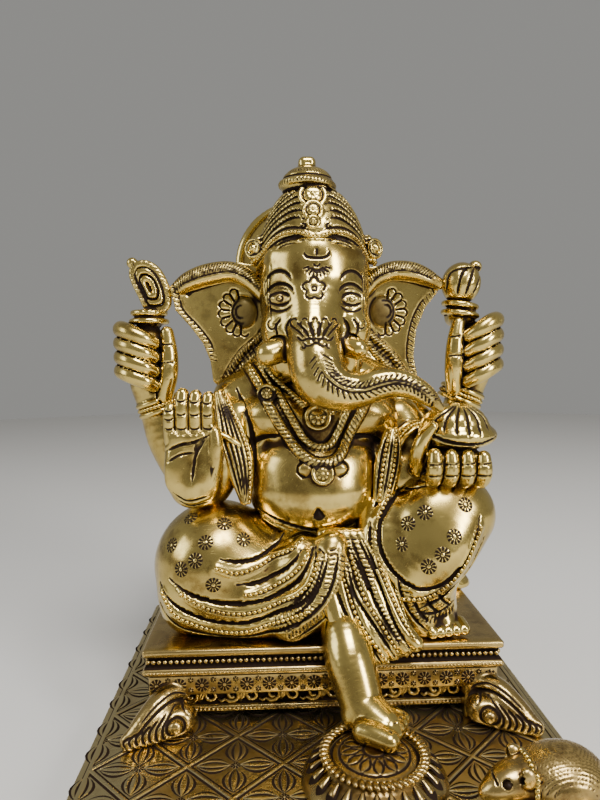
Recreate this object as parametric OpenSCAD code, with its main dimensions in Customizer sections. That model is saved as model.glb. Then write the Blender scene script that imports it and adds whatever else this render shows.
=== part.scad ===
// Seated elephant-headed temple idol of cast brass, on a four-legged throne and an engraved base plate.
// Millimetres. Z is up, the figure faces -Y, and "right" and "left" are the figure's own.
// The origin is the middle of the underside of the base.

/* [Base] */
// Width of the base plate, across the figure
plate_w = 138; // [134:1:150]
// Depth of the base plate, front to back
plate_d = 158; // [154:1:170]
// Height of the base, from the table to its engraved top
base_h = 9; // [8:0.5:12]
// Thickness of the engraved plate
plate_t = 4; // [3:0.5:5]
// Thickness of the edging strips under the plate
edge_t = 5; // [4:0.5:7]

/* [Throne] */
// Width of the seat slab
seat_w = 110; // [106:1:116]
// Depth of the seat slab
seat_d = 78; // [74:1:84]
// Distance from the middle of the base forward to the seat's front edge
seat_front = 19; // [17:1:21]
// Height of the seat's top above the engraved plate
seat_rise = 25; // [24:0.5:27]
// Thickness of the seat slab
slab_t = 8.5; // [7:0.5:9.5]
// How far the stamped band stands in from the slab's edge
band_in = 1.5; // [1:0.5:3]
// How far the scroll frieze stands in from the stamped band
frieze_in = 6; // [4:0.5:8]

/* [Fixings] */
// Shank radius of the screws in the throne, the footrest and the mouse
screw_r = 2; // [1.5:0.25:2.5]
// Shank radius of the two bolts that hold the figure to the seat
bolt_r = 2.5; // [2:0.25:3]

/* [Lotus footrest] */
// Radius of the pad that the foot rests on
pad_r = 14; // [12:0.5:15]
// Height of the footrest above the engraved plate
lotus_h = 9; // [8:0.5:10]
// Number of petals round the footrest
petal_count = 14; // [12:1:18]

/* [Figure] */
// Radius of the halo disc behind the head
halo_r = 22; // [18:0.5:23]
// Radius of the small parasol on the crown
parasol_r = 9.2; // [8:0.2:10]
// Lean of the crown to the figure's right, in degrees
crown_lean = 5; // [0:1:6]

/* [Hidden] */

fine = 18;            // facets round the large castings
mid = 14;             // facets round the limbs
small = 10;           // facets round fingers and trim
gap = 0.02;           // keeps a screw's wall off the wall of its hole
petal_r = 4.2;        // petals of the footrest
bud_petals = 7;
plate_z = base_h - plate_t;
seat_z = base_h + seat_rise;
slab_z = seat_z - slab_t;
seat_y = seat_d / 2 - seat_front;
apron_h = 6.5;        // height of the stamped band
frieze_z = base_h + 2;
apron_t = 4;
foot_x = seat_w / 2 - 9;
foot_front = -seat_front + 6;
foot_rear = seat_d - seat_front - 6;
foot_places = [[-foot_x, foot_front], [foot_x, foot_front], [-foot_x, foot_rear], [foot_x, foot_rear]];
bolt_places = [[-16, 22], [16, 22]];
lotus_at = [10.7, -44.5];
mouse_at = [53, -54];
screw_head_h = 2.6;
neck_z = 84;          // where the neck meets the head, above the seat
waist_z = 29;         // where the hips end and the torso begins, above the seat
wrist_z = 71;         // the raised hands' lower ends, above the seat
collar_z = 97;        // the raised hands' upper ends, above the seat
crown_z = 124;        // crown's lower edge, above the seat
crown_top = 19;       // height of the crown, from its lower edge to the parasol
crown_at = [-0.6, 10, crown_z];
halo_at = [-4.5, 33, 121];

// ---------- shared shapes ----------

module ball(p, facets = mid)
    translate([p[0], p[1], p[2]]) sphere(r = p[3], $fn = facets);

// A limb: rounded links through [x, y, z, radius] stations.
module limb(stations, facets = mid)
    for (i = [0 : len(stations) - 2])
        hull() {
            ball(stations[i], facets);
            ball(stations[i + 1], facets);
        }

// An egg with three radii, meshed by its hull.
module egg(centre, radii, turn = [0, 0, 0], facets = fine)
    translate(centre) rotate(turn) hull() scale(radii) sphere(r = 1, $fn = facets);

// A thin sheet: triangles from a middle point to each edge of an outline, all thick balls.
module sheet(middle, outline, thick, facets = small)
    for (i = [0 : len(outline) - 1])
        hull() {
            ball(concat(middle, thick), facets);
            ball(concat(outline[i], thick), facets);
            ball(concat(outline[(i + 1) % len(outline)], thick), facets);
        }

module screw(at, shank_r, head_r, from_z, length)
    translate([at[0], at[1], from_z]) {
        cylinder(r = shank_r - gap, h = length, $fn = 32);
        translate([0, 0, -screw_head_h]) cylinder(r = head_r, h = screw_head_h, $fn = 32);
    }

module screw_hole(at, r, z, length)
    translate([at[0], at[1], z]) cylinder(r = r, h = length, $fn = 32);

module on_seat() translate([0, 0, seat_z]) children();

module above(z) translate([-150, -150, z]) cube([300, 300, 300]);

module below(z) translate([-150, -150, z - 300]) cube([300, 300, 300]);

// ---------- base ----------

module base_plate() color("goldenrod")
    difference() {
        translate([-plate_w / 2, -plate_d / 2, plate_z]) cube([plate_w, plate_d, plate_t]);
        for (p = foot_places) screw_hole(p, screw_r, plate_z - 1, plate_t + 2);
        screw_hole(lotus_at, screw_r, plate_z - 1, plate_t + 2);
        screw_hole(mouse_at, screw_r, plate_z - 1, plate_t + 2);
    }

module edge_strip(length) translate([-length / 2, 0, 0]) cube([length, edge_t, plate_z]);

module base_edge_front() color("darkgoldenrod")
    translate([0, -plate_d / 2, 0]) edge_strip(plate_w);

module base_edge_back() color("darkgoldenrod")
    translate([0, plate_d / 2 - edge_t, 0]) edge_strip(plate_w);

module base_edge_right() color("darkgoldenrod")
    translate([-plate_w / 2, 0, 0]) rotate([0, 0, -90]) edge_strip(plate_d - 2 * edge_t);

module base_edge_left() color("darkgoldenrod")
    translate([plate_w / 2, 0, 0]) rotate([0, 0, 90]) edge_strip(plate_d - 2 * edge_t);

// ---------- throne ----------

module seat_slab() color("gold")
    difference() {
        translate([-seat_w / 2, -seat_front, slab_z]) {
            cube([seat_w, seat_d, 1.7]);
            translate([1, 1, 0]) cube([seat_w - 2, seat_d - 2, slab_t]);
            translate([0, 0, slab_t - 2.2]) cube([seat_w, seat_d, 2.2]);
        }
        for (p = bolt_places) screw_hole(p, bolt_r, slab_z - 1, slab_t + 2);
    }

// Cross-section of an apron, from its outer face at x = 0 inwards: the stamped band above, the frieze below.
module apron_profile() {
    top = slab_z - frieze_z;
    band = top - apron_h;
    polygon([
        [0, top], [0, band], [frieze_in, band], [frieze_in, 1.8], [frieze_in - 1.5, 1.8],
        [frieze_in - 1.5, 0], [frieze_in + apron_t, 0], [frieze_in + apron_t, band + 2],
        [apron_t, band + 2], [apron_t, top]
    ]);
}

module apron(length)
    translate([-length / 2, 0, frieze_z]) rotate([90, 0, 90])
        linear_extrude(height = length) apron_profile();

band_w = seat_w - 2 * band_in;
band_d = seat_d - 2 * band_in;
apron_reach = frieze_in + apron_t;

module apron_front() color("goldenrod")
    translate([0, -seat_front + band_in, 0]) apron(band_w - 2 * apron_reach);

module apron_back() color("goldenrod")
    translate([0, seat_d - seat_front - band_in, 0]) rotate([0, 0, 180])
        apron(band_w - 2 * apron_reach);

module apron_right() color("goldenrod")
    translate([-band_w / 2, seat_y, 0]) rotate([0, 0, -90]) apron(band_d - 2 * apron_reach);

module apron_left() color("goldenrod")
    translate([band_w / 2, seat_y, 0]) rotate([0, 0, 90]) apron(band_d - 2 * apron_reach);

// A scroll leg in its corner: a square block under the slab, with a leaf that curls out over the plate.
module throne_foot(sx, sy) {
    cx = sx * foot_x;
    cy = sy > 0 ? foot_front : foot_rear;
    corner_x = sx * (seat_w / 2 - band_in);
    corner_y = sy > 0 ? -seat_front + band_in : seat_d - seat_front - band_in;
    difference() {
        union() {
            translate([corner_x - (sx > 0 ? apron_reach : 0), corner_y - (sy > 0 ? 0 : apron_reach), base_h])
                cube([apron_reach, apron_reach, slab_z - base_h]);
            limb([
                [cx - sx * 3, cy - sy * 1, base_h + 12, 3.4],
                [cx + sx * 3, cy - sy * 7, base_h + 10.5, 4],
                [cx + sx * 7, cy - sy * 11, base_h + 6.5, 4],
                [cx + sx * 12, cy - sy * 14, base_h + 2.6, 2.6]
            ], small);
            limb([
                [cx - sx * 6, cy - sy * 8, base_h + 5.5, 4.6],
                [cx - sx * 1, cy - sy * 9, base_h + 5, 4.8],
                [cx + sx * 6, cy - sy * 11, base_h + 3.6, 3.6],
                [cx + sx * 12, cy - sy * 14, base_h + 2.6, 2.6]
            ], small);
        }
        screw_hole([cx, cy], screw_r, base_h - 1, 12);
        below(base_h);
    }
}

module throne_foot_front_right() color("gold") throne_foot(-1, 1);
module throne_foot_front_left() color("gold") throne_foot(1, 1);
module throne_foot_rear_right() color("gold") throne_foot(-1, -1);
module throne_foot_rear_left() color("gold") throne_foot(1, -1);

// ---------- lotus footrest and mouse ----------

module lotus_cup() color("goldenrod")
    translate([lotus_at[0], lotus_at[1], base_h])
        difference() {
            union() {
                cylinder(r1 = pad_r + 3, r2 = pad_r - 1, h = lotus_h - 3, $fn = 40);
                for (i = [0 : petal_count - 1])
                    rotate([0, 0, i * 360 / petal_count])
                        translate([pad_r + 1.6, 0, 1.6]) sphere(r = petal_r, $fn = 32);
            }
            below(0);
            above(lotus_h - 3);
            screw_hole([0, 0], screw_r, -1, 6);
        }

module lotus_pad() color("gold")
    translate([lotus_at[0], lotus_at[1], base_h + lotus_h - 3])
        rotate_extrude($fn = 64)
            polygon([[0, 0], [pad_r - 1, 0], [pad_r, 0.8], [pad_r, 2], [pad_r - 1, 3], [0, 3]]);

module mouse() color("gold")
    translate([mouse_at[0], mouse_at[1], base_h])
        difference() {
            union() {
                egg([2.5, 0, 6.6], [12, 9.2, 7.8], [0, -4, 0], mid);
                limb([[-6, 0, 6.6, 6], [-11, -1, 5.8, 4.6], [-15.5, -2, 4.6, 2.6]], small);
                limb([[-8, -5, 9.4, 2.2], [-6.5, -5.4, 10.4, 2.4]], small);
                limb([[-8, 4, 9.4, 2.2], [-6.5, 4.6, 10.4, 2.4]], small);
                limb([[11, 3, 3, 2], [13, 9, 2, 1.6], [8, 14, 1.6, 1.2]], small);
            }
            below(0);
            screw_hole([0, 0], screw_r, -1, 7);
        }

// ---------- body ----------

module hips_shape()
    difference() {
        egg([0, 21, 15], [36, 25, 20]);
        below(0);
        above(waist_z);
    }

// The hips carry the rolled waistcloth round their back.
module hips() color("goldenrod") on_seat()
    difference() {
        union() {
            hips_shape();
            limb([[-24, 38, 13, 5], [-12, 43.5, 14, 5.4], [0, 45, 13, 5.8], [12, 43.5, 14, 5.4], [24, 38, 13, 5]]);
        }
        for (p = bolt_places) screw_hole(p, bolt_r, -1, 14);
    }

module torso_shape()
    difference() {
        union() {
            egg([-0.5, 8, 44], [23.5, 21, 17.5]);
            egg([0, 19, 46], [25, 18, 22]);
            egg([0, 13, 66], [24, 15.5, 13.5]);
            limb([[-23, 15, 71, 9], [-9, 14, 74, 9], [9, 14, 74, 9], [23, 15, 71, 9]]);
            limb([[-0.5, 13, 70, 12], [-0.5, 12, 78, 11], [-0.5, 11, 84, 10]]);
        }
        below(waist_z);
        above(neck_z);
    }

module torso() color("gold") on_seat() torso_shape();

module head_shape()
    difference() {
        union() {
            egg([-0.8, 9, 108], [17.4, 16.5, 19]);
            egg([-1.5, 0, 106], [10.5, 11, 16]);
            egg([-1, 8, 92], [13, 13, 10]);
            limb([[-9, -2, 97, 6], [-2, -5, 95, 8.5], [6, -2, 97, 6]]);
        }
        above(crown_z);
        below(neck_z);
    }

module head() color("gold") on_seat()
    difference() {
        union() {
            head_shape();
            for (x = [-11.5, 9.5]) egg([x, -4.2, 105.8], [3.4, 2.4, 2.4], [0, 0, 0], small);
        }
        torso_shape();
    }

trunk_path = [
    [-2.4, -6, 101, 8.6], [-2.6, -10, 95, 7.5], [-2.2, -13.5, 87, 8.6], [-0.6, -16, 80.6, 8.2],
    [4.5, -18, 76.8, 6.3], [10, -19, 77, 5.3], [15.2, -20, 78.7, 5], [20, -20.5, 79.3, 4.5],
    [25, -21, 78.3, 3.8], [29.5, -20.5, 75.6, 3], [33.6, -18.5, 72.4, 1.8]
];

module trunk_shape() limb(trunk_path);

module trunk() color("gold") on_seat()
    difference() {
        trunk_shape();
        head_shape();
        torso_shape();
    }

module right_tusk_shape() limb([[-9.5, -5, 90, 3], [-14.6, -8.5, 88.6, 4.3]], small);
module left_tusk_shape() limb([[5.5, -5, 91, 3], [10.2, -9, 89.6, 3.6]], small);

module right_tusk() color("lightyellow") on_seat()
    difference() {
        right_tusk_shape();
        head_shape();
        trunk_shape();
    }

module left_tusk() color("lightyellow") on_seat()
    difference() {
        left_tusk_shape();
        head_shape();
        trunk_shape();
    }

module right_ear() color("gold") on_seat()
    difference() {
        union() {
            sheet([-28, 16, 100],
                  [[-16, 13, 116], [-30, 14, 118], [-43, 13, 114], [-47, 13, 109], [-42, 15, 101],
                   [-37.5, 16, 91], [-35, 16, 77], [-18, 15, 88]], 1.7);
            limb([[-17, 11, 116, 3], [-26, 11.5, 118.5, 3.4], [-35, 11.5, 117.5, 3.8],
                  [-43, 12, 113.5, 3.4], [-47, 13, 108.5, 2.4]], small);
        }
        head_shape();
        torso_shape();
    }

module left_ear() color("gold") on_seat()
    difference() {
        union() {
            sheet([26, 16, 101],
                  [[15, 13, 116], [28, 14, 118], [37, 13, 116], [42, 13, 111.5], [37, 15, 103],
                   [33.5, 16, 94], [33, 16, 81], [17, 15, 88]], 1.7);
            limb([[16, 11, 116, 3], [24, 11.5, 118.5, 3.4], [31, 11.5, 118, 3.6],
                  [37.5, 12, 115.5, 3.2], [42, 13, 111, 2.2]], small);
        }
        head_shape();
        torso_shape();
    }

// ---------- crown and halo ----------

module crown_frame() translate(crown_at) rotate([0, -crown_lean, 0]) children();

module crown() color("goldenrod") on_seat()
    crown_frame()
        rotate_extrude($fn = 64)
            polygon([[0, 0.8], [16.6, 1.5], [17.4, 3.6], [17, 6], [15.6, 9.4], [13.6, 13], [11.2, 16.6],
                     [9.4, crown_top], [0, crown_top]]);

module parasol() color("gold") on_seat()
    crown_frame() translate([0, 0, crown_top])
        rotate_extrude($fn = 64)
            polygon([[0, 0], [7, 0], [parasol_r, -2], [parasol_r, 0], [parasol_r - 1.6, 2.6], [4, 4.4],
                     [2.4, 5], [3.4, 6.6], [3.2, 8.4], [0, 9.4]]);

module halo() color("gold") on_seat()
    translate(halo_at) rotate([-90, 0, 0]) cylinder(r = halo_r, h = 2, $fn = 96);

// A short curved bracket from the back of the head to the disc.
module halo_stem() color("goldenrod") on_seat()
    difference() {
        limb([[-1, 20, 110, 3.4], [-1.6, 25, 112, 3], [-2.4, 28, 115, 2.8], [-3.4, 31, 118, 2.8]], small);
        head_shape();
        above(crown_z);
        translate([-50, halo_at[1], 0]) cube([100, 50, 200]);
    }

// ---------- arms, hands and what they hold ----------

right_wrist = [-54, 13, wrist_z];
left_wrist = [50.8, 13, wrist_z];

module rear_right_arm_shape()
    limb([[-25, 16, 70, 9], [-35, 15, 58, 9], [-42, 14, 48, 8.4], [-51, 13.5, 60, 7], concat(right_wrist, 6.2)]);

module rear_left_arm_shape()
    limb([[26, 16, 70, 8.8], [36, 15, 60, 8.6], [43, 15, 53, 8], [48.5, 14, 62, 6.6], concat(left_wrist, 6)]);

// Five links that shut round a shaft: a palm, curled fingers and a thumb.
module fist(wrist, palm, side) {
    limb([wrist, [palm[0], palm[1] + 2, (wrist[2] + palm[2]) / 2, 6.8], [palm[0], palm[1] + 1, palm[2], 8]], mid);
    for (i = [0 : 3])
        limb([[palm[0] + side * 6.5, palm[1] - 1, palm[2] - 4 + 3.2 * i, 2.2],
              [palm[0] + side * 1, palm[1] - 7.4, palm[2] - 5 + 3.2 * i, 2.2]], small);
    limb([[palm[0] - side * 6, palm[1] - 2, palm[2] - 8, 2.6], [palm[0] - side * 7, palm[1] - 1, palm[2] + 3, 2.4],
          [palm[0] - side * 5.5, palm[1] - 2, palm[2] + 8, 2.2]], small);
}

// The upper end of a raised arm sits in the shoulder, so only the forearm is cut at the wrist.
module forearm_cut(wrist) translate([wrist[0] - 12, wrist[1] - 12, wrist_z]) cube([24, 24, 40]);

module rear_right_arm() color("gold") on_seat()
    difference() {
        rear_right_arm_shape();
        torso_shape();
        hips_shape();
        forearm_cut(right_wrist);
    }

// A raised hand shut round the stem of what it holds, with a bangle at its wrist.
module raised_hand(wrist, palm, side)
    difference() {
        union() {
            fist([wrist[0], wrist[1], wrist[2] + 2, 5.8], palm, side);
            translate(wrist) cylinder(r = 7.4, h = 4.2, $fn = 32);
        }
        below(wrist_z);
        above(collar_z);
    }

module rear_right_hand() color("gold") on_seat() raised_hand(right_wrist, [-58.5, 12, 88], -1);

module noose() color("goldenrod") on_seat() {
    translate([-56.5, 12, collar_z]) cylinder(r1 = 5.4, r2 = 6.4, h = 4.6, $fn = 32);
    difference() {
        limb([[-60, 12, 101, 2.5], [-61, 12, 110, 2.6], [-59.5, 12, 114.5, 2.7], [-57, 12, 115.2, 2.7],
              [-54, 12, 112, 2.6], [-51, 12, 105, 2.5], [-52.5, 12, 101, 2.5], [-56, 12, 101, 2.4],
              [-60, 12, 101, 2.4]], small);
        below(collar_z + 0.5);
    }
}

module rear_left_arm() color("gold") on_seat()
    difference() {
        rear_left_arm_shape();
        torso_shape();
        hips_shape();
        forearm_cut(left_wrist);
    }

module rear_left_hand() color("gold") on_seat() raised_hand(left_wrist, [54.5, 12, 88], 1);

module lotus_bud() color("goldenrod") on_seat()
    difference() {
        union() {
            translate([49.5, 12, collar_z]) cylinder(r1 = 5, r2 = 6.2, h = 4, $fn = 32);
            for (i = [0 : bud_petals - 1])
                translate([49, 12, 109.5]) rotate([0, 12, 0]) rotate([0, 0, i * 360 / bud_petals])
                    egg([3.2, 0, 0], [4.8, 4.2, 9], [0, 0, 0], small);
            egg([54.6, 12, 118], [2.8, 2.8, 2.8], [0, 0, 0], small);
        }
        below(collar_z);
    }

module blessing_arm_shape() limb([[-26, 9, 66, 8.4], [-33, 4, 54, 8.4], [-36, 1, 46, 8.2], [-39, -1.5, 49, 7.4]]);

module blessing_arm() color("gold") on_seat()
    difference() {
        blessing_arm_shape();
        torso_shape();
        rear_right_arm_shape();
        right_thigh_shape();
        blessing_hand_shape();
    }

module blessing_hand_shape() {
    hull() {
        ball([-45.5, -5, 53, 4]);
        ball([-36, -5, 52, 4.6]);
        ball([-47, -5.5, 64, 3]);
        ball([-35.8, -5.5, 64, 3]);
    }
    for (i = [0 : 3])
        limb([[-47.2 + 3.8 * i, -6, 64, 2.25], [-47 + 3.75 * i, -6, 71 + 2 * sin(60 * i), 2.1],
              [-46.6 + 3.6 * i, -6, 73.5 + 2 * sin(60 * i), 1.9]], small);
    limb([[-34, -6, 53, 3.6], [-31.4, -6.5, 59, 2.8], [-32, -7, 64.5, 2.2]], small);
}

module blessing_hand() color("gold") on_seat()
    difference() {
        blessing_hand_shape();
        right_thigh_shape();
        torso_shape();
    }

module offering_arm_shape() limb([[27, 9, 66, 8], [33, 5, 55, 8], [36, -1, 52, 7]]);

module offering_arm() color("gold") on_seat()
    difference() {
        offering_arm_shape();
        torso_shape();
        rear_left_arm_shape();
        raised_knee_shape();
        offering_hand_shape();
        sweet_shape();
    }

module offering_hand_shape() {
    hull() {
        ball([37.5, -5, 53, 5]);
        ball([46, -5, 53, 5]);
    }
    for (i = [0 : 3])
        limb([[36.5 + 4.4 * i, -9, 50.5, 2.3], [36.5 + 4.6 * i, -14.5, 50.5, 2.3], [36.7 + 4.6 * i, -17.5, 56, 2.1]],
             small);
}

module offering_hand() color("gold") on_seat()
    difference() {
        offering_hand_shape();
        raised_knee_shape();
        sweet_shape();
        torso_shape();
    }

module sweet_shape()
    translate([42.5, -8.5, 56.5])
        rotate_extrude($fn = 40)
            polygon([[0, 0], [7.5, 0], [10.6, 2], [11.4, 4], [10.6, 6.4], [7, 9.6], [3.4, 12.6], [0, 14.4]]);

module sweet() color("goldenrod") on_seat()
    difference() {
        sweet_shape();
        trunk_shape();
        torso_shape();
    }

// ---------- legs and cloth ----------

module right_thigh_shape()
    difference() {
        union() {
            egg([-33.5, 3, 18.5], [21, 20, 17.5]);
            egg([-20, 4, 16], [22, 19, 15]);
            limb([[-38, 6, 18, 15], [-20, 12, 18, 15]], mid);
            limb([[-40, -6, 9, 9], [-20, -9, 8.5, 9], [-4, -10, 8, 8.6]], mid);
        }
        below(0);
    }

module right_thigh() color("gold") on_seat()
    difference() {
        right_thigh_shape();
        hips_shape();
        torso_shape();
    }

module right_shin_shape() {
    limb([[2, -21.5, 12.5, 6.2], [4, -26, 8, 6.3], [6, -27.5, 1.5, 5.8], [7.6, -30, -5, 5.1],
          [9.4, -34.5, -11.2, 4.8], [13.5, -42, -11.9, 4.2], [18, -48.5, -12.4, 3.6]]);
    for (i = [0 : 3]) limb([[19 - 2.6 * i, -48 + 0.5 * i, -13, 2], [21 - 2.9 * i, -52 + 0.2 * i, -13.6, 1.9]], small);
}

module right_shin() color("gold") on_seat()
    difference() {
        right_shin_shape();
        translate([0, 0, -seat_z]) below(base_h + lotus_h);
        right_thigh_shape();
        pleats_shape();
        throne_clearance();
    }

// The block of space that the slab fills, seen from the seat's own height.
module throne_clearance()
    translate([-seat_w / 2, -seat_front, -seat_rise]) cube([seat_w, seat_d, seat_rise]);

module raised_knee_shape()
    difference() {
        union() {
            limb([[18, 12, 15, 14], [33, 3, 28, 13.5], [44, -4, 36, 12]]);
            limb([[44.5, -6, 36.5, 11.5], [36, -11, 28, 12.4], [29, -12, 19, 12.2]]);
            limb([[32, -10, 12, 10], [36, -7, 5, 7]]);
        }
        below(0);
    }

module raised_knee() color("gold") on_seat()
    difference() {
        raised_knee_shape();
        hips_shape();
        torso_shape();
        right_thigh_shape();
        left_foot_shape();
    }

module left_foot_shape() {
    limb([[36, -6, 4.2, 4.6], [38, -12, 3.6, 4]], small);
    for (i = [0 : 4])
        limb([[33 + 2.5 * i, -12, 2.8, 2.1], [33.6 + 2.8 * i, -16.2 + 0.5 * i, 2.3, 1.9]], small);
}

module left_foot() color("gold") on_seat()
    difference() {
        left_foot_shape();
        below(0);
    }

// Six gathered pleats that fan from the waist over the front edge of the seat.
module pleats_shape()
    for (i = [0 : 5])
        limb([[0.5 + 2 * i, -10 - i * 0.3, 29, 2.8], [1 + 3 * i, -17.5, 18, 3.4],
              [4 + 3.4 * i, -22, 7, 3], [12 + 2.6 * i, -23.4, -3 + i, 2.4]], small);

module pleats() color("goldenrod") on_seat()
    difference() {
        pleats_shape();
        throne_clearance();
        torso_shape();
        hips_shape();
        right_thigh_shape();
        raised_knee_shape();
        left_foot_shape();
    }

module cloth_tail() color("goldenrod") on_seat()
    difference() {
        sheet([52, 31, 3], [[40, 30, 5], [47, 38, 6], [55, 37, 4.5], [58.5, 31, 1.4], [57, 25, 1], [48, 23, 2]], 1.8);
        below(0);
        hips_shape();
        raised_knee_shape();
    }

module right_shawl_shape()
    limb([[-22, 3, 80, 3.2], [-29, 3, 75, 3.6], [-31, 1, 66, 3.8], [-27, -2, 55, 3.8], [-24, -4, 45, 3.4],
          [-23, -4, 38, 3]], small);

module right_shawl() color("goldenrod") on_seat()
    difference() {
        right_shawl_shape();
        torso_shape();
        right_thigh_shape();
        blessing_arm_shape();
        blessing_hand_shape();
        trunk_shape();
    }

module left_shawl() color("goldenrod") on_seat()
    difference() {
        limb([[20, 3, 80, 3.2], [27, 2, 75, 3.6], [26, -5, 66, 3.8], [24, -8, 56, 3.8], [23, -9, 46, 3.6],
              [20, -9, 37, 3]], small);
        offering_arm_shape();
        torso_shape();
        raised_knee_shape();
        right_thigh_shape();
        trunk_shape();
        offering_hand_shape();
        sweet_shape();
    }

module chest_medal() color("gold") on_seat()
    difference() {
        egg([-0.5, -5.4, 67.4], [3.6, 3.4, 3.6], [0, 0, 0], small);
        torso_shape();
        trunk_shape();
    }

module garland() color("goldenrod") on_seat()
    difference() {
        union() {
            limb([[-18, 0, 74, 2.6], [-13, -4.5, 66, 2.8], [-8, -9.5, 57, 2.8], [0, -12.5, 51, 3.2],
                  [8, -9.5, 57, 2.8], [13, -4.5, 66, 2.8], [17, 0, 74, 2.6]], small);
            egg([0, -11.5, 50.6], [4, 3.2, 4], [0, 0, 0], small);
        }
        torso_shape();
        trunk_shape();
        head_shape();
        right_shawl_shape();
    }

// ---------- fixings ----------

module throne_screws() color("silver")
    for (p = foot_places) screw(p, screw_r, 3.6, plate_z, plate_t + 9);

module figure_bolts() color("silver")
    for (p = bolt_places) screw(p, bolt_r, 4.4, slab_z, slab_t + 12);

module lotus_screw() color("silver") screw(lotus_at, screw_r, 3.6, plate_z, plate_t + 4);

module mouse_screw() color("silver") screw(mouse_at, screw_r, 3.6, plate_z, plate_t + 5);

base_plate();
base_edge_front();
base_edge_back();
base_edge_right();
base_edge_left();
seat_slab();
apron_front();
apron_back();
apron_right();
apron_left();
throne_foot_front_right();
throne_foot_front_left();
throne_foot_rear_right();
throne_foot_rear_left();
lotus_cup();
lotus_pad();
mouse();
hips();
torso();
head();
trunk();
right_tusk();
left_tusk();
right_ear();
left_ear();
crown();
parasol();
halo();
halo_stem();
rear_right_arm();
rear_right_hand();
noose();
rear_left_arm();
rear_left_hand();
lotus_bud();
blessing_arm();
blessing_hand();
offering_arm();
offering_hand();
sweet();
right_thigh();
right_shin();
raised_knee();
left_foot();
pleats();
cloth_tail();
right_shawl();
left_shawl();
chest_medal();
garland();
throne_screws();
figure_bolts();
lotus_screw();
mouse_screw();
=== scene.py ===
# %% [markdown]
# # A seated brass Ganesha
#
# The imported CAD model fixes where everything is and how big it is. This script makes the fine casting
# that stands in its place. The large cast forms are sculpted as *clay*: a grid of signed distances, in
# millimetres, that can be added to, carved, embossed and engraved. What repeats, such as beads, petals,
# stamps and scrolls, is laid out by Geometry Nodes. Three surface attributes travel with every casting
# and drive its brass:
#
# - `ink`: where a chisel line holds black antiquing, and in a few places painted shade: in the channels
#   behind beads, under the ear rolls and the parasol, and on the ears beside the head,
# - `recess`: how deep a point lies in a hollow, where the brass gets painted shade along with antiquing,
# - `ridge`: how far it stands proud, where polishing cloths reach.

# %% Load the frame
import math
import bpy
import numpy as np
import openvdb
from mathutils import Matrix


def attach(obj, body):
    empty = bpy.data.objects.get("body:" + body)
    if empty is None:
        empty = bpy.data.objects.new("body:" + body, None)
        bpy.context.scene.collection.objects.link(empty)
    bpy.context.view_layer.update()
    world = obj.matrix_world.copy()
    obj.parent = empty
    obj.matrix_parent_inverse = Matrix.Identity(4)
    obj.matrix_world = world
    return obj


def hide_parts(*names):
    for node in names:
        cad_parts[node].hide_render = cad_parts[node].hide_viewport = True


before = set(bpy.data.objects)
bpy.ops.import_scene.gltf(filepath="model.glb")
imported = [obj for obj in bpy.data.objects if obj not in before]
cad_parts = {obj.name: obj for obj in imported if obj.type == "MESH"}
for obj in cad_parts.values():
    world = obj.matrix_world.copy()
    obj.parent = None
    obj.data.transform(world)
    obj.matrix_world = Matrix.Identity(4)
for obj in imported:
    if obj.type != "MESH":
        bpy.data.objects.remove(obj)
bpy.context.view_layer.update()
MM = 0.001
SEAT_TOP = 34.0
PLATE_TOP = 9.0
PAD_TOP = 18.0
# Directions that a chisel works in: from the front, from behind and from above.
FRONT = (0, 1, 0)
BACK = (0, -1, 0)
DOWN = (0, 0, -1)

# %% [markdown]
# ## Clay
#
# A form is a triple: the low corner and high corner of its box, and a function that gives the distance to
# its surface. Adding a form takes the smaller distance, carving takes the larger one, and `blend` rounds
# the join over that many millimetres. Only the part of the grid near the form is touched, so thousands of
# small strokes are cheap.

# %% Forms: eggs, rods, rings and boxes
REACH = 3.0


def unit(v):
    """The vector at length one."""
    v = np.asarray(v, float)
    return v / max(np.linalg.norm(v), 1e-9)


def turn_matrix(degrees):
    """A rotation about X, then Y, then Z."""
    ax, ay, az = [math.radians(a) for a in degrees]
    rx = np.array([[1, 0, 0], [0, math.cos(ax), -math.sin(ax)], [0, math.sin(ax), math.cos(ax)]])
    ry = np.array([[math.cos(ay), 0, math.sin(ay)], [0, 1, 0], [-math.sin(ay), 0, math.cos(ay)]])
    rz = np.array([[math.cos(az), -math.sin(az), 0], [math.sin(az), math.cos(az), 0], [0, 0, 1]])
    return rz @ ry @ rx


def egg(centre, radii, turn=(0, 0, 0)):
    """An ellipsoid."""
    c = np.array(centre, float)
    r = np.array(radii, float)
    m = turn_matrix(turn)
    reach = np.sqrt(((m * r) ** 2).sum(axis=1))

    def distance(x, y, z):
        px, py, pz = x - c[0], y - c[1], z - c[2]
        u = [(m[0, i] * px + m[1, i] * py + m[2, i] * pz) / r[i] for i in range(3)]
        near = np.sqrt(u[0] ** 2 + u[1] ** 2 + u[2] ** 2)
        slope = np.sqrt((u[0] / r[0]) ** 2 + (u[1] / r[1]) ** 2 + (u[2] / r[2]) ** 2)
        return near * (near - 1) / np.maximum(slope, 1e-6)

    return c - reach, c + reach, distance


def ball(centre, radius):
    """A sphere."""
    return egg(centre, (radius, radius, radius))


def rod_distance(a, b, ra, rb, x, y, z):
    """Distance to a round bar from a to b whose radius runs from ra to rb."""
    along = b - a
    length2 = max(float(along @ along), 1e-9)
    t = ((x - a[0]) * along[0] + (y - a[1]) * along[1] + (z - a[2]) * along[2]) / length2
    t = np.clip(t, 0, 1)
    gap = np.sqrt((x - a[0] - t * along[0]) ** 2 + (y - a[1] - t * along[1]) ** 2
        + (z - a[2] - t * along[2]) ** 2)
    return gap - (ra + (rb - ra) * t)


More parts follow.
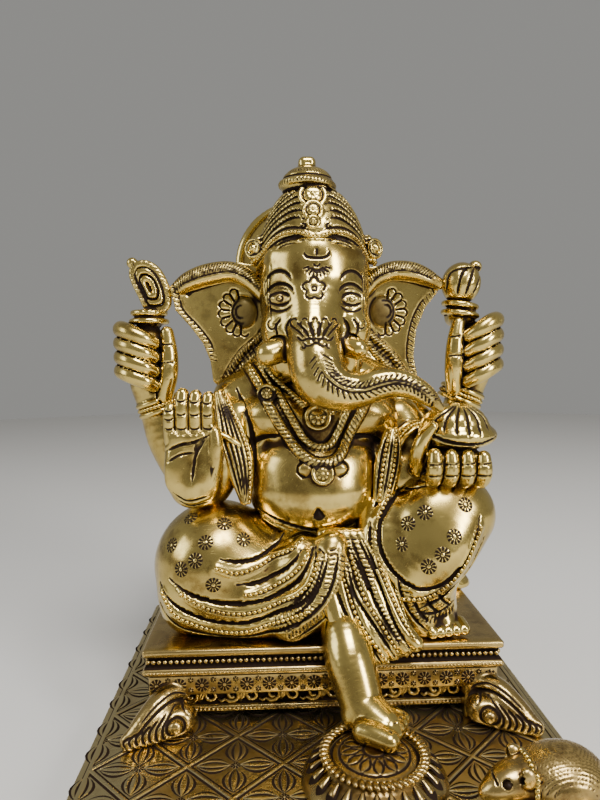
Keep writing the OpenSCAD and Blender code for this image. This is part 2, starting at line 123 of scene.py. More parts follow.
def ring(centre, axis, radius, thick):
    """A torus about an axis."""
    c = np.array(centre, float)
    n = unit(axis)
    reach = radius * np.sqrt(np.clip(1 - n ** 2, 0, 1)) + thick

    def distance(x, y, z):
        px, py, pz = x - c[0], y - c[1], z - c[2]
        up = px * n[0] + py * n[1] + pz * n[2]
        out = np.sqrt(np.maximum(px ** 2 + py ** 2 + pz ** 2 - up ** 2, 0)) - radius
        return np.sqrt(out ** 2 + up ** 2) - thick

    return c - reach, c + reach, distance


def block(low, high, round_off=0.5):
    """A box with rounded edges."""
    low = np.array(low, float)
    high = np.array(high, float)
    c = (low + high) / 2
    half = (high - low) / 2 - round_off

    def distance(x, y, z):
        q = [np.abs(v - c[i]) - half[i] for i, v in enumerate((x, y, z))]
        out = np.sqrt(sum(np.maximum(v, 0) ** 2 for v in q))
        inside = np.minimum(np.maximum(np.maximum(q[0], q[1]), q[2]), 0)
        return out + inside - round_off

    return low, high, distance


def slab_under(normal, offset):
    """Everything below a plane: normal . p < offset."""
    n = unit(normal)
    far = np.full(3, 1e4)

    def distance(x, y, z):
        return n[0] * x + n[1] * y + n[2] * z - offset

    return -far, far, distance


def above(level):
    """Everything above a height."""
    return slab_under(DOWN, -level)


def leaf_plate(outline, y_at, thick):
    """A thin plate that fills an (x, z) outline, with its middle surface at y_at(x, z)."""
    pts = np.array(outline, float)
    low = np.array([pts[:, 0].min() - thick, -40, pts[:, 1].min() - thick])
    high = np.array([pts[:, 0].max() + thick, 60, pts[:, 1].max() + thick])

    def distance(x, y, z):
        xx, zz = np.broadcast_arrays(x, z)
        flat = outline_distance(pts, xx[:, 0, :], zz[:, 0, :])[:, None, :]
        side = np.abs(y - y_at(x, z)) - thick / 2 + 0.4
        edge = flat + 0.4
        out = np.sqrt(np.maximum(edge, 0) ** 2 + np.maximum(side, 0) ** 2)
        return out + np.minimum(np.maximum(edge, side), 0) - 0.4

    return low, high, distance


def outline_distance(pts, x, z):
    """Signed distance in the plane to a closed outline, negative inside."""
    best = np.full(x.shape, 1e9)
    inside = np.zeros(x.shape, bool)
    for (ax, az), (bx, bz) in zip(pts, np.roll(pts, -1, axis=0)):
        ex, ez = bx - ax, bz - az
        t = np.clip(((x - ax) * ex + (z - az) * ez) / max(ex * ex + ez * ez, 1e-9), 0, 1)
        best = np.minimum(best, (x - ax - t * ex) ** 2 + (z - az - t * ez) ** 2)
        crosses = ((az > z) != (bz > z)) & (x < ex * (z - az) / (ez if ez else 1e-9) + ax)
        inside ^= crosses
    return np.where(inside, -1, 1) * np.sqrt(best)


# %% Paths
def smooth_path(points, per_span=6, closed=False):
    """A curve through the points. Any extra columns, such as a radius, are carried along."""
    p = np.array(points, float)
    n = len(p)
    spans = n if closed else n - 1
    out = []
    for i in range(spans):
        if closed:
            p0, p1, p2, p3 = p[(i - 1) % n], p[i], p[(i + 1) % n], p[(i + 2) % n]
        else:
            p0, p1, p2, p3 = p[max(i - 1, 0)], p[i], p[i + 1], p[min(i + 2, n - 1)]
        for k in range(per_span):
            t = k / per_span
            out.append(0.5 * (2 * p1 + (p2 - p0) * t + (2 * p0 - 5 * p1 + 4 * p2 - p3) * t ** 2
                + (3 * p1 - p0 - 3 * p2 + p3) * t ** 3))
    out.append(p[0] if closed else p[-1])
    return np.array(out)


def even_steps(path, step):
    """The path walked again in even steps."""
    path = np.asarray(path, float)
    gaps = np.linalg.norm(np.diff(path[:, :3], axis=0), axis=1)
    at = np.concatenate([[0], np.cumsum(gaps)])
    count = max(int(round(at[-1] / step)), 1)
    wanted = np.linspace(0, at[-1], count + 1)
    return np.stack([np.interp(wanted, at, path[:, i]) for i in range(path.shape[1])], axis=1)


def lift(flat):
    """(x, z) points as (x, 0, z) points."""
    flat = np.asarray(flat, float)
    if flat.shape[1] == 3:
        return flat
    return np.stack([flat[:, 0], 0 * flat[:, 0], flat[:, 1]], axis=1)


def arc(centre, radii, start, end, count=14):
    """Points on an ellipse in the (x, z) plane, from one angle to another, in degrees."""
    a = np.radians(np.linspace(start, end, count))
    return np.stack([centre[0] + radii[0] * np.cos(a), centre[1] + radii[1] * np.sin(a)], axis=1)


def spiral(centre, radius, start, turns, count=26):
    """A flat scroll that winds inwards, in the (x, z) plane."""
    t = np.linspace(0, 1, count)
    a = math.radians(start) + t * turns * 2 * math.pi
    r = radius * (1 - 0.88 * t)
    return np.stack([centre[0] + r * np.cos(a), centre[1] + r * np.sin(a)], axis=1)


# %% The clay itself
def smooth_min(a, b, k):
    """The smaller of two distances, rounded over k."""
    if k <= 0:
        return np.minimum(a, b)
    h = np.clip(0.5 + 0.5 * (b - a) / k, 0, 1)
    return b + (a - b) * h - k * h * (1 - h)


# Landing a point: how many steps it may take, when it has arrived, and what still counts as met.
LAND_STEPS, LANDED_MM, MET_MM = 90, 0.02, 0.25


class Clay:
    """Signed distances on a grid, with a second grid that holds the ink."""

    def __init__(self, low, high, cell):
        self.low = np.array(low, float)
        self.cell = cell
        self.count = np.ceil((np.array(high, float) - self.low) / cell).astype(int) + 1
        self.d = np.full(self.count, REACH, np.float32)
        self.dark = np.zeros(self.count, np.float32)
        self.grid = [(self.low[i] + cell * np.arange(self.count[i])).astype(np.float32) for i in range(3)]

    def window(self, low, high, within=None):
        """The slices of the grid inside a box, and the coordinates of its cells."""
        first = [c.start for c in within] if within else 0
        last = [c.stop for c in within] if within else self.count
        a = np.clip(np.floor((np.asarray(low) - self.low) / self.cell), first, last).astype(int)
        b = np.clip(np.ceil((np.asarray(high) - self.low) / self.cell) + 1, first, last).astype(int)
        cut = tuple(slice(i, j) for i, j in zip(a, b))
        x = self.grid[0][cut[0]][:, None, None]
        y = self.grid[1][cut[1]][None, :, None]
        z = self.grid[2][cut[2]][None, None, :]
        return cut, (x, y, z)

    def add(self, form, blend=0.0):
        """Presses a form onto the clay."""
        cut, place = self.window(form[0] - REACH - blend, form[1] + REACH + blend)
        if self.d[cut].size:
            self.d[cut] = smooth_min(self.d[cut], form[2](*place), blend)

    def egg(self, centre, radii, blend=0.0, turn=(0, 0, 0)):
        """Presses an ellipsoid onto the clay."""
        self.add(egg(centre, radii, turn), blend)

    def carve(self, form, blend=0.0, ink=0.0):
        """Takes a form away."""
        cut, place = self.window(form[0] - REACH - blend, form[1] + REACH + blend)
        if self.d[cut].size:
            near = form[2](*place)
            self.d[cut] = -smooth_min(-self.d[cut], near, blend)
            if ink:
                self.dark[cut] = np.maximum(self.dark[cut], ink * np.clip(0.5 - near / self.cell, 0, 1))

    def keep(self, form):
        """Keeps only what lies inside a form."""
        cut, place = self.window(self.low, self.low + self.cell * self.count)
        self.d[cut] = np.maximum(self.d[cut], form[2](*place))

    def bar(self, path, radius, pad):
        """Distances to a round bar that follows a path, on its own window of the grid."""
        path = np.asarray(path, float)
        radii = np.broadcast_to(np.asarray(radius, float), (len(path),))
        top = radii.max()
        cut, _ = self.window(path.min(axis=0) - top - pad, path.max(axis=0) + top + pad)
        far = np.full([s.stop - s.start for s in cut], REACH + pad, np.float32)
        for a, b, ra, rb in zip(path[:-1], path[1:], radii[:-1], radii[1:]):
            reach = max(ra, rb) + pad
            part, place = self.window(np.minimum(a, b) - reach, np.maximum(a, b) + reach, cut)
            inner = tuple(slice(p.start - c.start, p.stop - c.start) for p, c in zip(part, cut))
            if far[inner].size:
                far[inner] = np.minimum(far[inner], rod_distance(a, b, ra, rb, *place))
        return cut, far

    def limb(self, stations, blend=0.0, per_span=5):
        """Adds a smooth round limb through [x, y, z, radius] stations."""
        path = smooth_path(stations, per_span)
        cut, far = self.bar(path[:, :3], path[:, 3], REACH + blend)
        self.d[cut] = smooth_min(self.d[cut], far, blend)
        self.dark[cut] = np.where(far < 0.3 * self.cell, 0, self.dark[cut])

    def carve_limb(self, stations, spare):
        """Clears an inked seat round a limb before it is laid down."""
        path = smooth_path(stations)
        cut, far = self.bar(path[:, :3], path[:, 3] + spare, 2)
        self.d[cut] = -smooth_min(-self.d[cut], far, 0.1)
        self.dark[cut] = np.maximum(self.dark[cut], np.clip(0.5 - far / self.cell, 0, 1))

    def sample(self, points, field=None):
        """The grid's value at any points, blended between cells."""
        field = self.d if field is None else field
        q = (np.asarray(points, float) - self.low) / self.cell
        inside = np.all((q >= 0) & (q <= self.count - 1), axis=1)
        q = np.clip(q, 0, self.count - 1.001)
        i = q.astype(int)
        f = q - i
        total = np.zeros(len(q))
        for dx in (0, 1):
            for dy in (0, 1):
                for dz in (0, 1):
                    weight = (np.where(dx, f[:, 0], 1 - f[:, 0]) * np.where(dy, f[:, 1],
                        1 - f[:, 1]) * np.where(dz, f[:, 2], 1 - f[:, 2]))
                    total += weight * field[i[:, 0] + dx, i[:, 1] + dy, i[:, 2] + dz]
        return total, inside

    def normal(self, points):
        """The outward direction at points near the surface."""
        step = self.cell * 1.5
        out = np.zeros((len(points), 3))
        for axis in range(3):
            offset = np.zeros(3)
            offset[axis] = step
            out[:, axis] = self.sample(points + offset)[0] - self.sample(points - offset)[0]
        return out / np.maximum(np.linalg.norm(out, axis=1), 1e-9)[:, None]

    def land(self, points, toward=FRONT, start=50.0):
        """Slides points along a direction until they meet the clay. Also says which of them met it."""
        way = np.atleast_2d(np.asarray(toward, float))
        way = way / np.linalg.norm(way, axis=1)[:, None]
        p = np.array(points, float) - way * start
        for _ in range(LAND_STEPS):
            gap, inside = self.sample(p)
            p = p + way * np.where(inside, np.clip(gap, -0.4, REACH) * 0.8, 2)[:, None]
            if np.all(np.abs(gap) < LANDED_MM):
                break
        gap, inside = self.sample(p)
        return p, (np.abs(gap) < MET_MM) & inside

    def drop(self, points, toward=FRONT, start=50.0):
        """The points that meet the clay, on its surface."""
        p, met = self.land(points, toward, start)
        return p[met]

    def face_path(self, flat, step=0.5, toward=FRONT):
        """An (x, z) line from the front, laid on the surface."""
        return self.drop(even_steps(lift(flat), step), toward)

    def turn_path(self, centre, turns, step=2.0):
        """(angle, z) pairs laid on the surface round an upright axis. Angle 0 faces the front."""
        pairs = even_steps(smooth_path(turns), step)
        a = np.radians(pairs[:, 0])
        way = np.stack([-np.sin(a), np.cos(a), 0 * a], axis=1)
        points = np.stack([0 * a + centre[0], 0 * a + centre[1], pairs[:, 1]], axis=1)
        return self.drop(points, way, 40)

    def bite(self, cut, far, ink):
        """Cuts a chisel mark and fills it with ink."""
        self.d[cut] = -smooth_min(-self.d[cut], far, 0.1)
        self.dark[cut] = np.maximum(self.dark[cut], ink * np.clip(0.75 - far / (0.9 * self.cell), 0, 1))

    def engrave_at(self, path, width=0.7, depth=0.45, ink=1.0):
        """Cuts a chisel line along surface points and fills it with ink."""
        if len(path) < 2:
            return
        t = np.linspace(0, 1, len(path))
        closed = len(path) < 8 or np.linalg.norm(path[0] - path[-1]) < 2 * width
        taper = np.ones(len(path)) if closed else np.clip(np.minimum(t, 1 - t) / 0.18, 0.35, 1)
        radius = width / 2 * taper
        centre = path + self.normal(path) * (radius - depth * taper)[:, None]
        self.bite(*self.bar(centre, radius, 1.2), ink)

    def engrave(self, flat, width=0.7, depth=0.45, ink=1.0, toward=FRONT):
        """A chisel line drawn from the front."""
        self.engrave_at(self.face_path(flat, 0.45, toward), width, depth, ink)

    def draw(self, flat, width=0.7, depth=0.45, ink=1.0, toward=FRONT):
        """A chisel line along the smooth curve through a few points."""
        self.engrave(smooth_path(flat), width, depth, ink, toward)

    def strokes(self, pairs, width=0.5, depth=0.35, ink=0.9, toward=FRONT):
        """Many short chisel strokes. Each pair holds the two ends of one stroke."""
        pairs = np.asarray(pairs, float)
        ends = np.stack([lift(pairs[:, 0]), lift(pairs[:, 1])], axis=1)
        t = np.linspace(0, 1, 4)[None, :, None]
        rows = ends[:, :1] * (1 - t) + ends[:, 1:] * t
        way = np.asarray(toward, float)
        if way.ndim == 2:
            way = np.repeat(way, 4, axis=0)
        points, met = self.land(rows.reshape(-1, 3), way)
        normals = self.normal(points)
        points = (points + normals * (width / 2 - depth)).reshape(rows.shape)
        whole = met.reshape(rows.shape[:2]).all(axis=1)
        for stroke in points[whole]:
            self.bite(*self.bar(stroke, width / 2, 1), ink)

    def emboss_at(self, path, radius=0.6, height=0.5, blend=0.2, rim=0.0):
        """Lays a raised cord along surface points. rim inks the crease on both its sides."""
        if len(path) < 2:
            return
        centre = path + self.normal(path) * (height - radius)
        if rim:
            cut, far = self.bar(centre, radius + 0.5, 1.6)
            self.d[cut] = -smooth_min(-self.d[cut], far + 0.25, 0.2)
            self.dark[cut] = np.maximum(self.dark[cut], rim * np.clip(0.6 - far / self.cell, 0, 1))
        cut, far = self.bar(centre, radius, 2)
        self.d[cut] = smooth_min(self.d[cut], far, blend)
        self.dark[cut] = np.where(far < 0.15, 0, self.dark[cut])

    def emboss(self, flat, radius=0.6, height=0.5, blend=0.2, toward=FRONT, rim=0.0):
        """A raised cord drawn from the front."""
        self.emboss_at(self.face_path(flat, 0.6, toward), radius, height, blend, rim)

    def ink_over(self, form, amount=1.0):
        """Leaves ink wherever the surface lies inside a form."""
        cut, place = self.window(form[0] - 1, form[1] + 1)
        if self.dark[cut].size:
            inside = np.clip(0.5 - form[2](*place) / 1, 0, 1)
            self.dark[cut] = np.maximum(self.dark[cut], amount * inside)


# %% [markdown]
# ## From clay to a casting
#
# The grid is meshed where its distance is zero. Blurring the distances over a small and a large
# neighbourhood, and reading the result back on the surface, says how hollow or how proud each vertex is:
# inside a crease the blurred value is lower than on a flat face, and on a ridge it is higher.

# %% Meshing and the three attributes
def blur(field, half):
    """A box blur of the grid, 2 * half + 1 cells wide, run twice."""
    for _ in range(2):
        for axis in range(3):
            shape = [slice(None)] * 3
            first, last = list(shape), list(shape)
            first[axis], last[axis] = slice(0, 1), slice(-1, None)
            head = np.repeat(field[tuple(first)], half + 1, axis)
            tail = np.repeat(field[tuple(last)], half, axis)
            total = np.cumsum(np.concatenate([head, field, tail], axis), axis, dtype=np.float64)
            ahead, behind = list(shape), list(shape)
            ahead[axis], behind[axis] = slice(2 * half + 1, None), slice(0, -2 * half - 1)
            field = ((total[tuple(ahead)] - total[tuple(behind)]) / (2 * half + 1)).astype(np.float32)
    return field


def put_attribute(mesh, name, values):
    """A float for each vertex."""
    layer = mesh.attributes.new(name, "FLOAT", "POINT")
    layer.data.foreach_set("value", np.asarray(values, np.float32))


def put_marks(mesh, ink, recess, ridge):
    """The three attributes that the brass reads."""
    for name, values in (("ink", ink), ("recess", recess), ("ridge", ridge)):
        put_attribute(mesh, name, values)


def link(name, data):
    """A new object in the scene."""
    obj = bpy.data.objects.new(name, data)
    bpy.context.collection.objects.link(obj)
    return obj


def small_mesh(name, verts_mm, faces, ink, recess, ridge):
    """An object from plain lists of vertices and faces, with its marks."""
    mesh = bpy.data.meshes.new(name)
    mesh.from_pydata([tuple(np.array(v) * MM) for v in verts_mm], [], faces)
    put_marks(mesh, ink, recess, ridge)
    return link(name, mesh)


def quad_grid(rows, across, first=0, closed=False):
    """The faces between rows of points. A closed grid joins each row's ends."""
    faces = []
    for row in range(rows - 1):
        for k in range(across if closed else across - 1):
            a, b = first + row * across + k, first + row * across + (k + 1) % across
            faces.append((a, a + across, b + across, b))
    return faces


def new_object(name, verts_mm, faces, material):
    """A mesh object in metres, with its material."""
    mesh = bpy.data.meshes.new(name)
    verts = np.asarray(verts_mm, np.float32) * MM
    faces = np.asarray(faces, np.int32)
    mesh.vertices.add(len(verts))
    mesh.vertices.foreach_set("co", verts.ravel())
    mesh.loops.add(faces.size)
    mesh.loops.foreach_set("vertex_index", faces.ravel())
    mesh.polygons.add(len(faces))
    mesh.polygons.foreach_set("loop_start", np.arange(0, faces.size, faces.shape[1], dtype=np.int32))
    mesh.update(calc_edges=True)
    mesh.shade_smooth()
    mesh.materials.append(material)
    return link(name, mesh)


# How far the blurred distances differ from zero where a mark is at its fullest, in millimetres.
CREASE_MM, HOLLOW_MM, EDGE_MM, SWELL_MM = 0.16, 0.62, 0.12, 0.9
USUAL_CELL = 0.42


def wear_and_shade(clay, points):
    """The recess and ridge amounts at surface points. The brass darkens recess as painted shade, along
    with antiquing.
    """
    held = np.clip(clay.d, -REACH, REACH)
    fine = clay.sample(points, blur(held, 1))[0]
    wide = clay.sample(points, blur(held, 4))[0]
    crease = np.clip(-fine / (CREASE_MM * clay.cell / USUAL_CELL) - 0.25, 0, 1)
    hollow = np.clip(-wide / HOLLOW_MM - 0.08, 0, 1)
    edge = np.clip(fine / EDGE_MM, 0, 1)
    swell = np.clip(wide / SWELL_MM, 0, 1)
    recess = crease * 0.75 + hollow * 0.9
    ridge = edge * 0.6 + swell * 0.4
    return np.clip(recess, 0, 1), np.clip(ridge, 0, 1)


def cast(clay, name, nodes, material=None):
    """Meshes the clay as a piece that stands for CAD nodes, in the figure's brass by default."""
    material = material or FIGURE
    volume = openvdb.FloatGrid(REACH)
    volume.copyFromArray(np.clip(clay.d / clay.cell, -REACH, REACH).astype(np.float32), tolerance=0.0)
    points, quads = volume.convertToQuads(isovalue=0.0)
    points = clay.low + points * clay.cell
    obj = new_object(name, points, quads[:, ::-1], material)
    recess, ridge = wear_and_shade(clay, points)
    put_marks(obj.data, np.clip(clay.sample(points, clay.dark)[0], 0, 1), recess, ridge)
    hand_over(obj, nodes)
    print(f"{name}: {len(quads) * 2} triangles")


def hand_over(obj, nodes=()):
    """Tells the frame what a finished piece is."""
    obj.name = obj.name.replace(" ", "_")
    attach(obj, "root")
    if nodes:
        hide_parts(*nodes)

# %% [markdown]
# ## Brass
#
# One node group works out the finish of old lost-wax brass from the three attributes: a pale polished
# metal on ridges, a warmer yellow in clouds between, orange-brown dirt in spots, and black-brown
# antiquing in chisel lines. Hollows are darkened through the same tones as painted shade. It gives
# colours, a roughness and a height, and each material keeps its own Principled BSDF.

# %% Node helpers
class Graph:
    """A small hand for building node trees."""

    def __init__(self, tree):
        self.tree = tree

    def node(self, kind, inputs=None, **settings):
        made = self.tree.nodes.new(kind)
        for key, value in settings.items():
            setattr(made, key, value)
        for key, value in (inputs or {}).items():
            self.feed(made.inputs[key], value)
        return made

    def feed(self, socket, value):
        if isinstance(value, bpy.types.NodeSocket):
            self.tree.links.new(value, socket)
        else:
            socket.default_value = value

    def math(self, operation, a, b, clamp):
        return self.node("ShaderNodeMath", {0: a, 1: b}, operation=operation, use_clamp=clamp).outputs[0]

    def add(self, a, b, clamp=False):
        return self.math("ADD", a, b, clamp)

    def less(self, a, b):
        return self.math("SUBTRACT", a, b, False)

    def times(self, a, b, clamp=False):
        return self.math("MULTIPLY", a, b, clamp)

    def noise(self, vector, scale, detail=3.0, rough=0.55):
        made = self.node("ShaderNodeTexNoise", {"Vector": vector, "Scale": scale, "Detail": detail,
            "Roughness": rough})
        return made.outputs["Fac"]

    def ramp(self, value, low, high, out_low=0.0, out_high=1.0):
        made = self.node("ShaderNodeMapRange", {"Value": value, "From Min": low, "From Max": high,
            "To Min": out_low, "To Max": out_high})
        made.interpolation_type = "SMOOTHSTEP"
        return made.outputs["Result"]

    def mix(self, factor, a, b):
        made = self.node("ShaderNodeMix", data_type="RGBA")
        self.feed(made.inputs[0], factor)
        self.feed(made.inputs[6], a)
        self.feed(made.inputs[7], b)
        return made.outputs[2]


def colour(r, g, b):
    return (r, g, b, 1)


# %% The aged brass and painted shade group
def make_aged_brass_and_shade():
    tree = bpy.data.node_groups.new("Aged brass", "ShaderNodeTree")
    for name, kind, default in (("Polished", "NodeSocketColor", colour(0.72, 0.545, 0.165)),
            ("Worn", "NodeSocketColor", colour(0.27, 0.175, 0.045)), ("Grime", "NodeSocketColor",
            colour(0.060, 0.032, 0.012)), ("Antiquing", "NodeSocketColor", colour(0.014, 0.0065, 0.003)),
            ("Vector", "NodeSocketVector", (0, 0, 0)), ("Ink", "NodeSocketFloat", 0),
            ("Recess", "NodeSocketFloat", 0), ("Ridge", "NodeSocketFloat", 0),
            ("Tarnish", "NodeSocketFloat", 0.35), ("Smoothness", "NodeSocketFloat", 0.8)):
        socket = tree.interface.new_socket(name, in_out="INPUT", socket_type=kind)
        socket.default_value = default
    for name, kind in (("Color", "NodeSocketColor"), ("Metal", "NodeSocketFloat"),
            ("Roughness", "NodeSocketFloat"), ("Height", "NodeSocketFloat")):
        tree.interface.new_socket(name, in_out="OUTPUT", socket_type=kind)
    g = Graph(tree)
    come = g.node("NodeGroupInput").outputs
    clouds = g.noise(come["Vector"], 55, 4)
    spots = g.noise(come["Vector"], 330, 3, 0.7)
    grain = g.noise(come["Vector"], 1500, 2, 0.6)
    stretched = g.node("ShaderNodeMapping", {"Vector": come["Vector"], "Rotation": (0.3, 0.5, 0.2),
        "Scale": (260, 3800, 700)}).outputs[0]
    scratches = g.ramp(g.noise(stretched, 1, 2), 0.60, 0.78)

    # Orange-brown in the recesses as painted shade, and in spots from the noise as dirt.
    uneven = g.add(g.times(come["Recess"], 1.25), g.times(g.less(spots, 0.5), 0.55))
    grime_and_shade = g.ramp(uneven, 0.14, 0.50)
    # Black-brown antiquing in chisel lines, and painted shade in the deepest recesses.
    antiquing_and_shade = g.ramp(g.add(g.times(come["Recess"], 1.15), g.times(come["Ink"], 1.2)), 0.40, 0.86)
    # Where the metal has yellowed between polishings, in clouds, and painted shade in the recesses.
    # Ridges stay polished.
    patches = g.noise(come["Vector"], 120, 5, 0.65)
    clouds_and_shade = g.add(g.add(g.ramp(clouds, 0.36, 0.66, 0, 0.7), g.ramp(patches, 0.48, 0.66, 0, 0.6)),
        g.times(come["Recess"], 1.2))
    tarnish_and_shade = g.times(g.less(clouds_and_shade, g.times(come["Ridge"], 0.7)), come["Tarnish"], clamp=True)
    metal = g.mix(tarnish_and_shade, come["Polished"], come["Worn"])
    grimed_and_shaded = g.mix(grime_and_shade, metal, come["Grime"])
    shade = g.mix(antiquing_and_shade, grimed_and_shaded, come["Antiquing"])

    rough = g.add(g.ramp(clouds, 0.3, 0.75, 0.06, 0.18), g.times(scratches, 0.10))
    rough = g.add(rough, g.times(g.less(1, come["Smoothness"]), 0.5))
    rough = g.add(rough, g.times(grime_and_shade, 0.30))
    rough = g.add(rough, g.times(antiquing_and_shade, 0.25), clamp=True)
    height = g.less(g.times(g.add(grain, g.times(spots, 1.5)), 0.5), g.times(scratches, 0.6))
    bare = g.less(1, g.times(antiquing_and_shade, 0.85))
    out = g.node("NodeGroupOutput")
    for name, value in (("Color", shade), ("Metal", bare), ("Roughness", rough), ("Height", height)):
        g.feed(out.inputs[name], value)
    return tree


AGED_BRASS_AND_SHADE = make_aged_brass_and_shade()
BUMP = 0.00002


def blank_material(name):
    """A material with an empty node tree, and the place on its object that drives the noise."""
    material = bpy.data.materials.new(name)
    material.use_nodes = True
    material.node_tree.nodes.clear()
    g = Graph(material.node_tree)
    return material, g, g.node("ShaderNodeTexCoord").outputs["Object"]


def brass(name, polished=None, tarnish_and_shade=None, tarnish=0.35, smoothness=0.8):
    """A brass material on the shared group."""
    material, g, place = blank_material(name)
    group = g.node("ShaderNodeGroup", node_tree=AGED_BRASS_AND_SHADE)
    g.feed(group.inputs["Vector"], place)
    for socket, attribute in (("Ink", "ink"), ("Recess", "recess"), ("Ridge", "ridge")):
        g.feed(group.inputs[socket], g.node("ShaderNodeAttribute",
            attribute_name=attribute).outputs["Fac"])
    group.inputs["Tarnish"].default_value = tarnish
    group.inputs["Smoothness"].default_value = smoothness
    if polished:
        group.inputs["Polished"].default_value = polished
    if tarnish_and_shade:
        group.inputs["Worn"].default_value = tarnish_and_shade
    relief = g.node("ShaderNodeBump", {"Strength": 0.35, "Distance": BUMP,
        "Height": group.outputs["Height"]})
    surface = g.node("ShaderNodeBsdfPrincipled", {"Base Color": group.outputs["Color"],
        "Metallic": group.outputs["Metal"], "Roughness": group.outputs["Roughness"],
        "Normal": relief.outputs["Normal"], "Specular IOR Level": 0.15})
    g.node("ShaderNodeOutputMaterial", {"Surface": surface.outputs["BSDF"]})
    return material


FIGURE = brass("Figure brass", tarnish=0.86, smoothness=0.82)
THRONE = brass("Throne brass", colour(0.52, 0.37, 0.13), colour(0.20, 0.125, 0.045), 0.95, 0.70)
PLATE = brass("Base plate brass", colour(0.60, 0.49, 0.24), colour(0.32, 0.22, 0.09), 0.62, 0.64)


def steel():
    """Plain steel for the screws underneath."""
    material, g, place = blank_material("Screw steel")
    mottle = g.noise(place, 900, 4)
    shade = g.mix(g.ramp(mottle, 0.45, 0.75), colour(0.55, 0.56, 0.58), colour(0.30, 0.24, 0.19))
    relief = g.node("ShaderNodeBump", {"Strength": 0.3, "Distance": BUMP, "Height": mottle})
    surface = g.node("ShaderNodeBsdfPrincipled", {"Base Color": shade, "Metallic": 1,
        "Roughness": g.ramp(mottle, 0.3, 0.8, 0.28, 0.5), "Normal": relief.outputs["Normal"]})
    g.node("ShaderNodeOutputMaterial", {"Surface": surface.outputs["BSDF"]})
    return material


STEEL = steel()
print("materials:", [m.name for m in (FIGURE, THRONE, PLATE)])

# %% [markdown]
# ## Geometry Nodes trims
#
# Beads, ropes, petals, stamps and scrolls repeat, so each is a node tree with named sizes. A path or a
# set of placed points goes in, one small shape is set along it, and the tree ends in Realize Instances
# and Set Material. The result is then frozen as plain mesh.

# %% Running a tree and freezing the result
def freeze(carrier, tree, values, name, material):
    """Runs a tree on a carrier object and keeps the mesh that it makes."""
    modifier = carrier.modifiers.new("Trim", "NODES")
    modifier.node_group = tree
    for item in tree.interface.items_tree:
        if item.in_out == "INPUT" and item.name in values:
            modifier[item.identifier] = values[item.name]
    bpy.context.view_layer.update()
    graph = bpy.context.evaluated_depsgraph_get()
    mesh = bpy.data.meshes.new_from_object(carrier.evaluated_get(graph), depsgraph=graph)
    mesh.name = name
    carrier.modifiers.remove(modifier)
    bpy.data.objects.remove(carrier)
    obj = link(name, mesh)
    if not mesh.materials:
        mesh.materials.append(material)
    mesh.shade_smooth()
    hand_over(obj)
    print(f"{name}: {len(mesh.polygons)} faces")


def path_carrier(paths, closed=False):
    """An object whose mesh is the paths as edges, in metres."""
    verts, edges = [], []
    for path in paths:
        first = len(verts)
        verts += [tuple(np.asarray(p[:3]) * MM) for p in path]
        edges += [(first + i, first + i + 1) for i in range(len(path) - 1)]
        if closed:
            edges.append((first + len(path) - 1, first))
    mesh = bpy.data.meshes.new("Paths")
    mesh.from_pydata(verts, edges, [])
    return link("Paths", mesh)


def point_carrier(points, facing, spin=None, size=None):
    """An object of loose points, each with the direction that it faces."""
    mesh = bpy.data.meshes.new("Places")
    mesh.from_pydata([tuple(np.asarray(p) * MM) for p in points], [], [])
    layer = mesh.attributes.new("facing", "FLOAT_VECTOR", "POINT")
    layer.data.foreach_set("vector", np.asarray(facing, np.float32).ravel())
    put_attribute(mesh, "spin", np.zeros(len(points)) if spin is None else spin)
    put_attribute(mesh, "size", np.ones(len(points)) if size is None else size)
    return link("Places", mesh)


# %% A string of beads or a twisted rope
def begin_tree(name, sockets):
    """A geometry tree with (name, kind, default) inputs. Gives its graph and its inputs."""
    tree = bpy.data.node_groups.new(name, "GeometryNodeTree")
    for socket_name, kind, default in sockets:
        socket = tree.interface.new_socket(socket_name, in_out="INPUT", socket_type="NodeSocket" + kind)
        if default is not None:
            socket.default_value = default
    tree.interface.new_socket("Geometry", in_out="OUTPUT", socket_type="NodeSocketGeometry")
    g = Graph(tree)
    return g, g.node("NodeGroupInput").outputs


def end_tree(g, set_out, material):
    """Realizes the instances and gives them their material."""
    real = g.node("GeometryNodeRealizeInstances", {"Geometry": set_out}).outputs[0]
    done = g.node("GeometryNodeSetMaterial", {"Geometry": real, "Material": material}).outputs[0]
    g.feed(g.node("NodeGroupOutput").inputs[0], done)
    return g.tree


def make_bead_tree():
    g, come = begin_tree("Beads on a path", (("Path", "Geometry", None), ("Radius", "Float", 0.0006),
        ("Spacing", "Float", 0.0012), ("Length", "Float", 1), ("Slant", "Float", 0),
        ("Material", "Material", None)))
    curve = g.node("GeometryNodeMeshToCurve", {"Mesh": come["Path"]}).outputs[0]
    walk = g.node("GeometryNodeCurveToPoints", {"Curve": curve, "Length": come["Spacing"]}, mode="LENGTH")
    ball_mesh = g.node("GeometryNodeMeshIcoSphere", {"Radius": come["Radius"],
        "Subdivisions": 2}).outputs["Mesh"]
    scale = g.node("ShaderNodeCombineXYZ", {0: 1, 1: 1, 2: come["Length"]}).outputs[0]
    bead = g.node("GeometryNodeTransform", {"Geometry": ball_mesh, "Scale": scale}).outputs[0]
    slant = g.node("ShaderNodeCombineXYZ", {0: 0, 1: come["Slant"], 2: 0.0}).outputs[0]
    tilt = g.node("FunctionNodeRotateRotation", {"Rotation": walk.outputs["Rotation"],
        "Rotate By": slant}, rotation_space="LOCAL").outputs[0]
    set_out = g.node("GeometryNodeInstanceOnPoints", {"Points": walk.outputs["Points"], "Instance": bead,
        "Rotation": tilt}).outputs[0]
    return end_tree(g, set_out, come["Material"])


BEADS = make_bead_tree()


def beads(name, paths, radius, spacing, material, length=1.0, slant=0.0, closed=False):
    """Beads along paths, in millimetres. A length over 1 and a slant make a twisted rope."""
    values = {"Radius": radius * MM, "Spacing": spacing * MM, "Length": float(length),
              "Slant": math.radians(slant), "Material": material}
    freeze(path_carrier(paths, closed), BEADS, values, name, material)


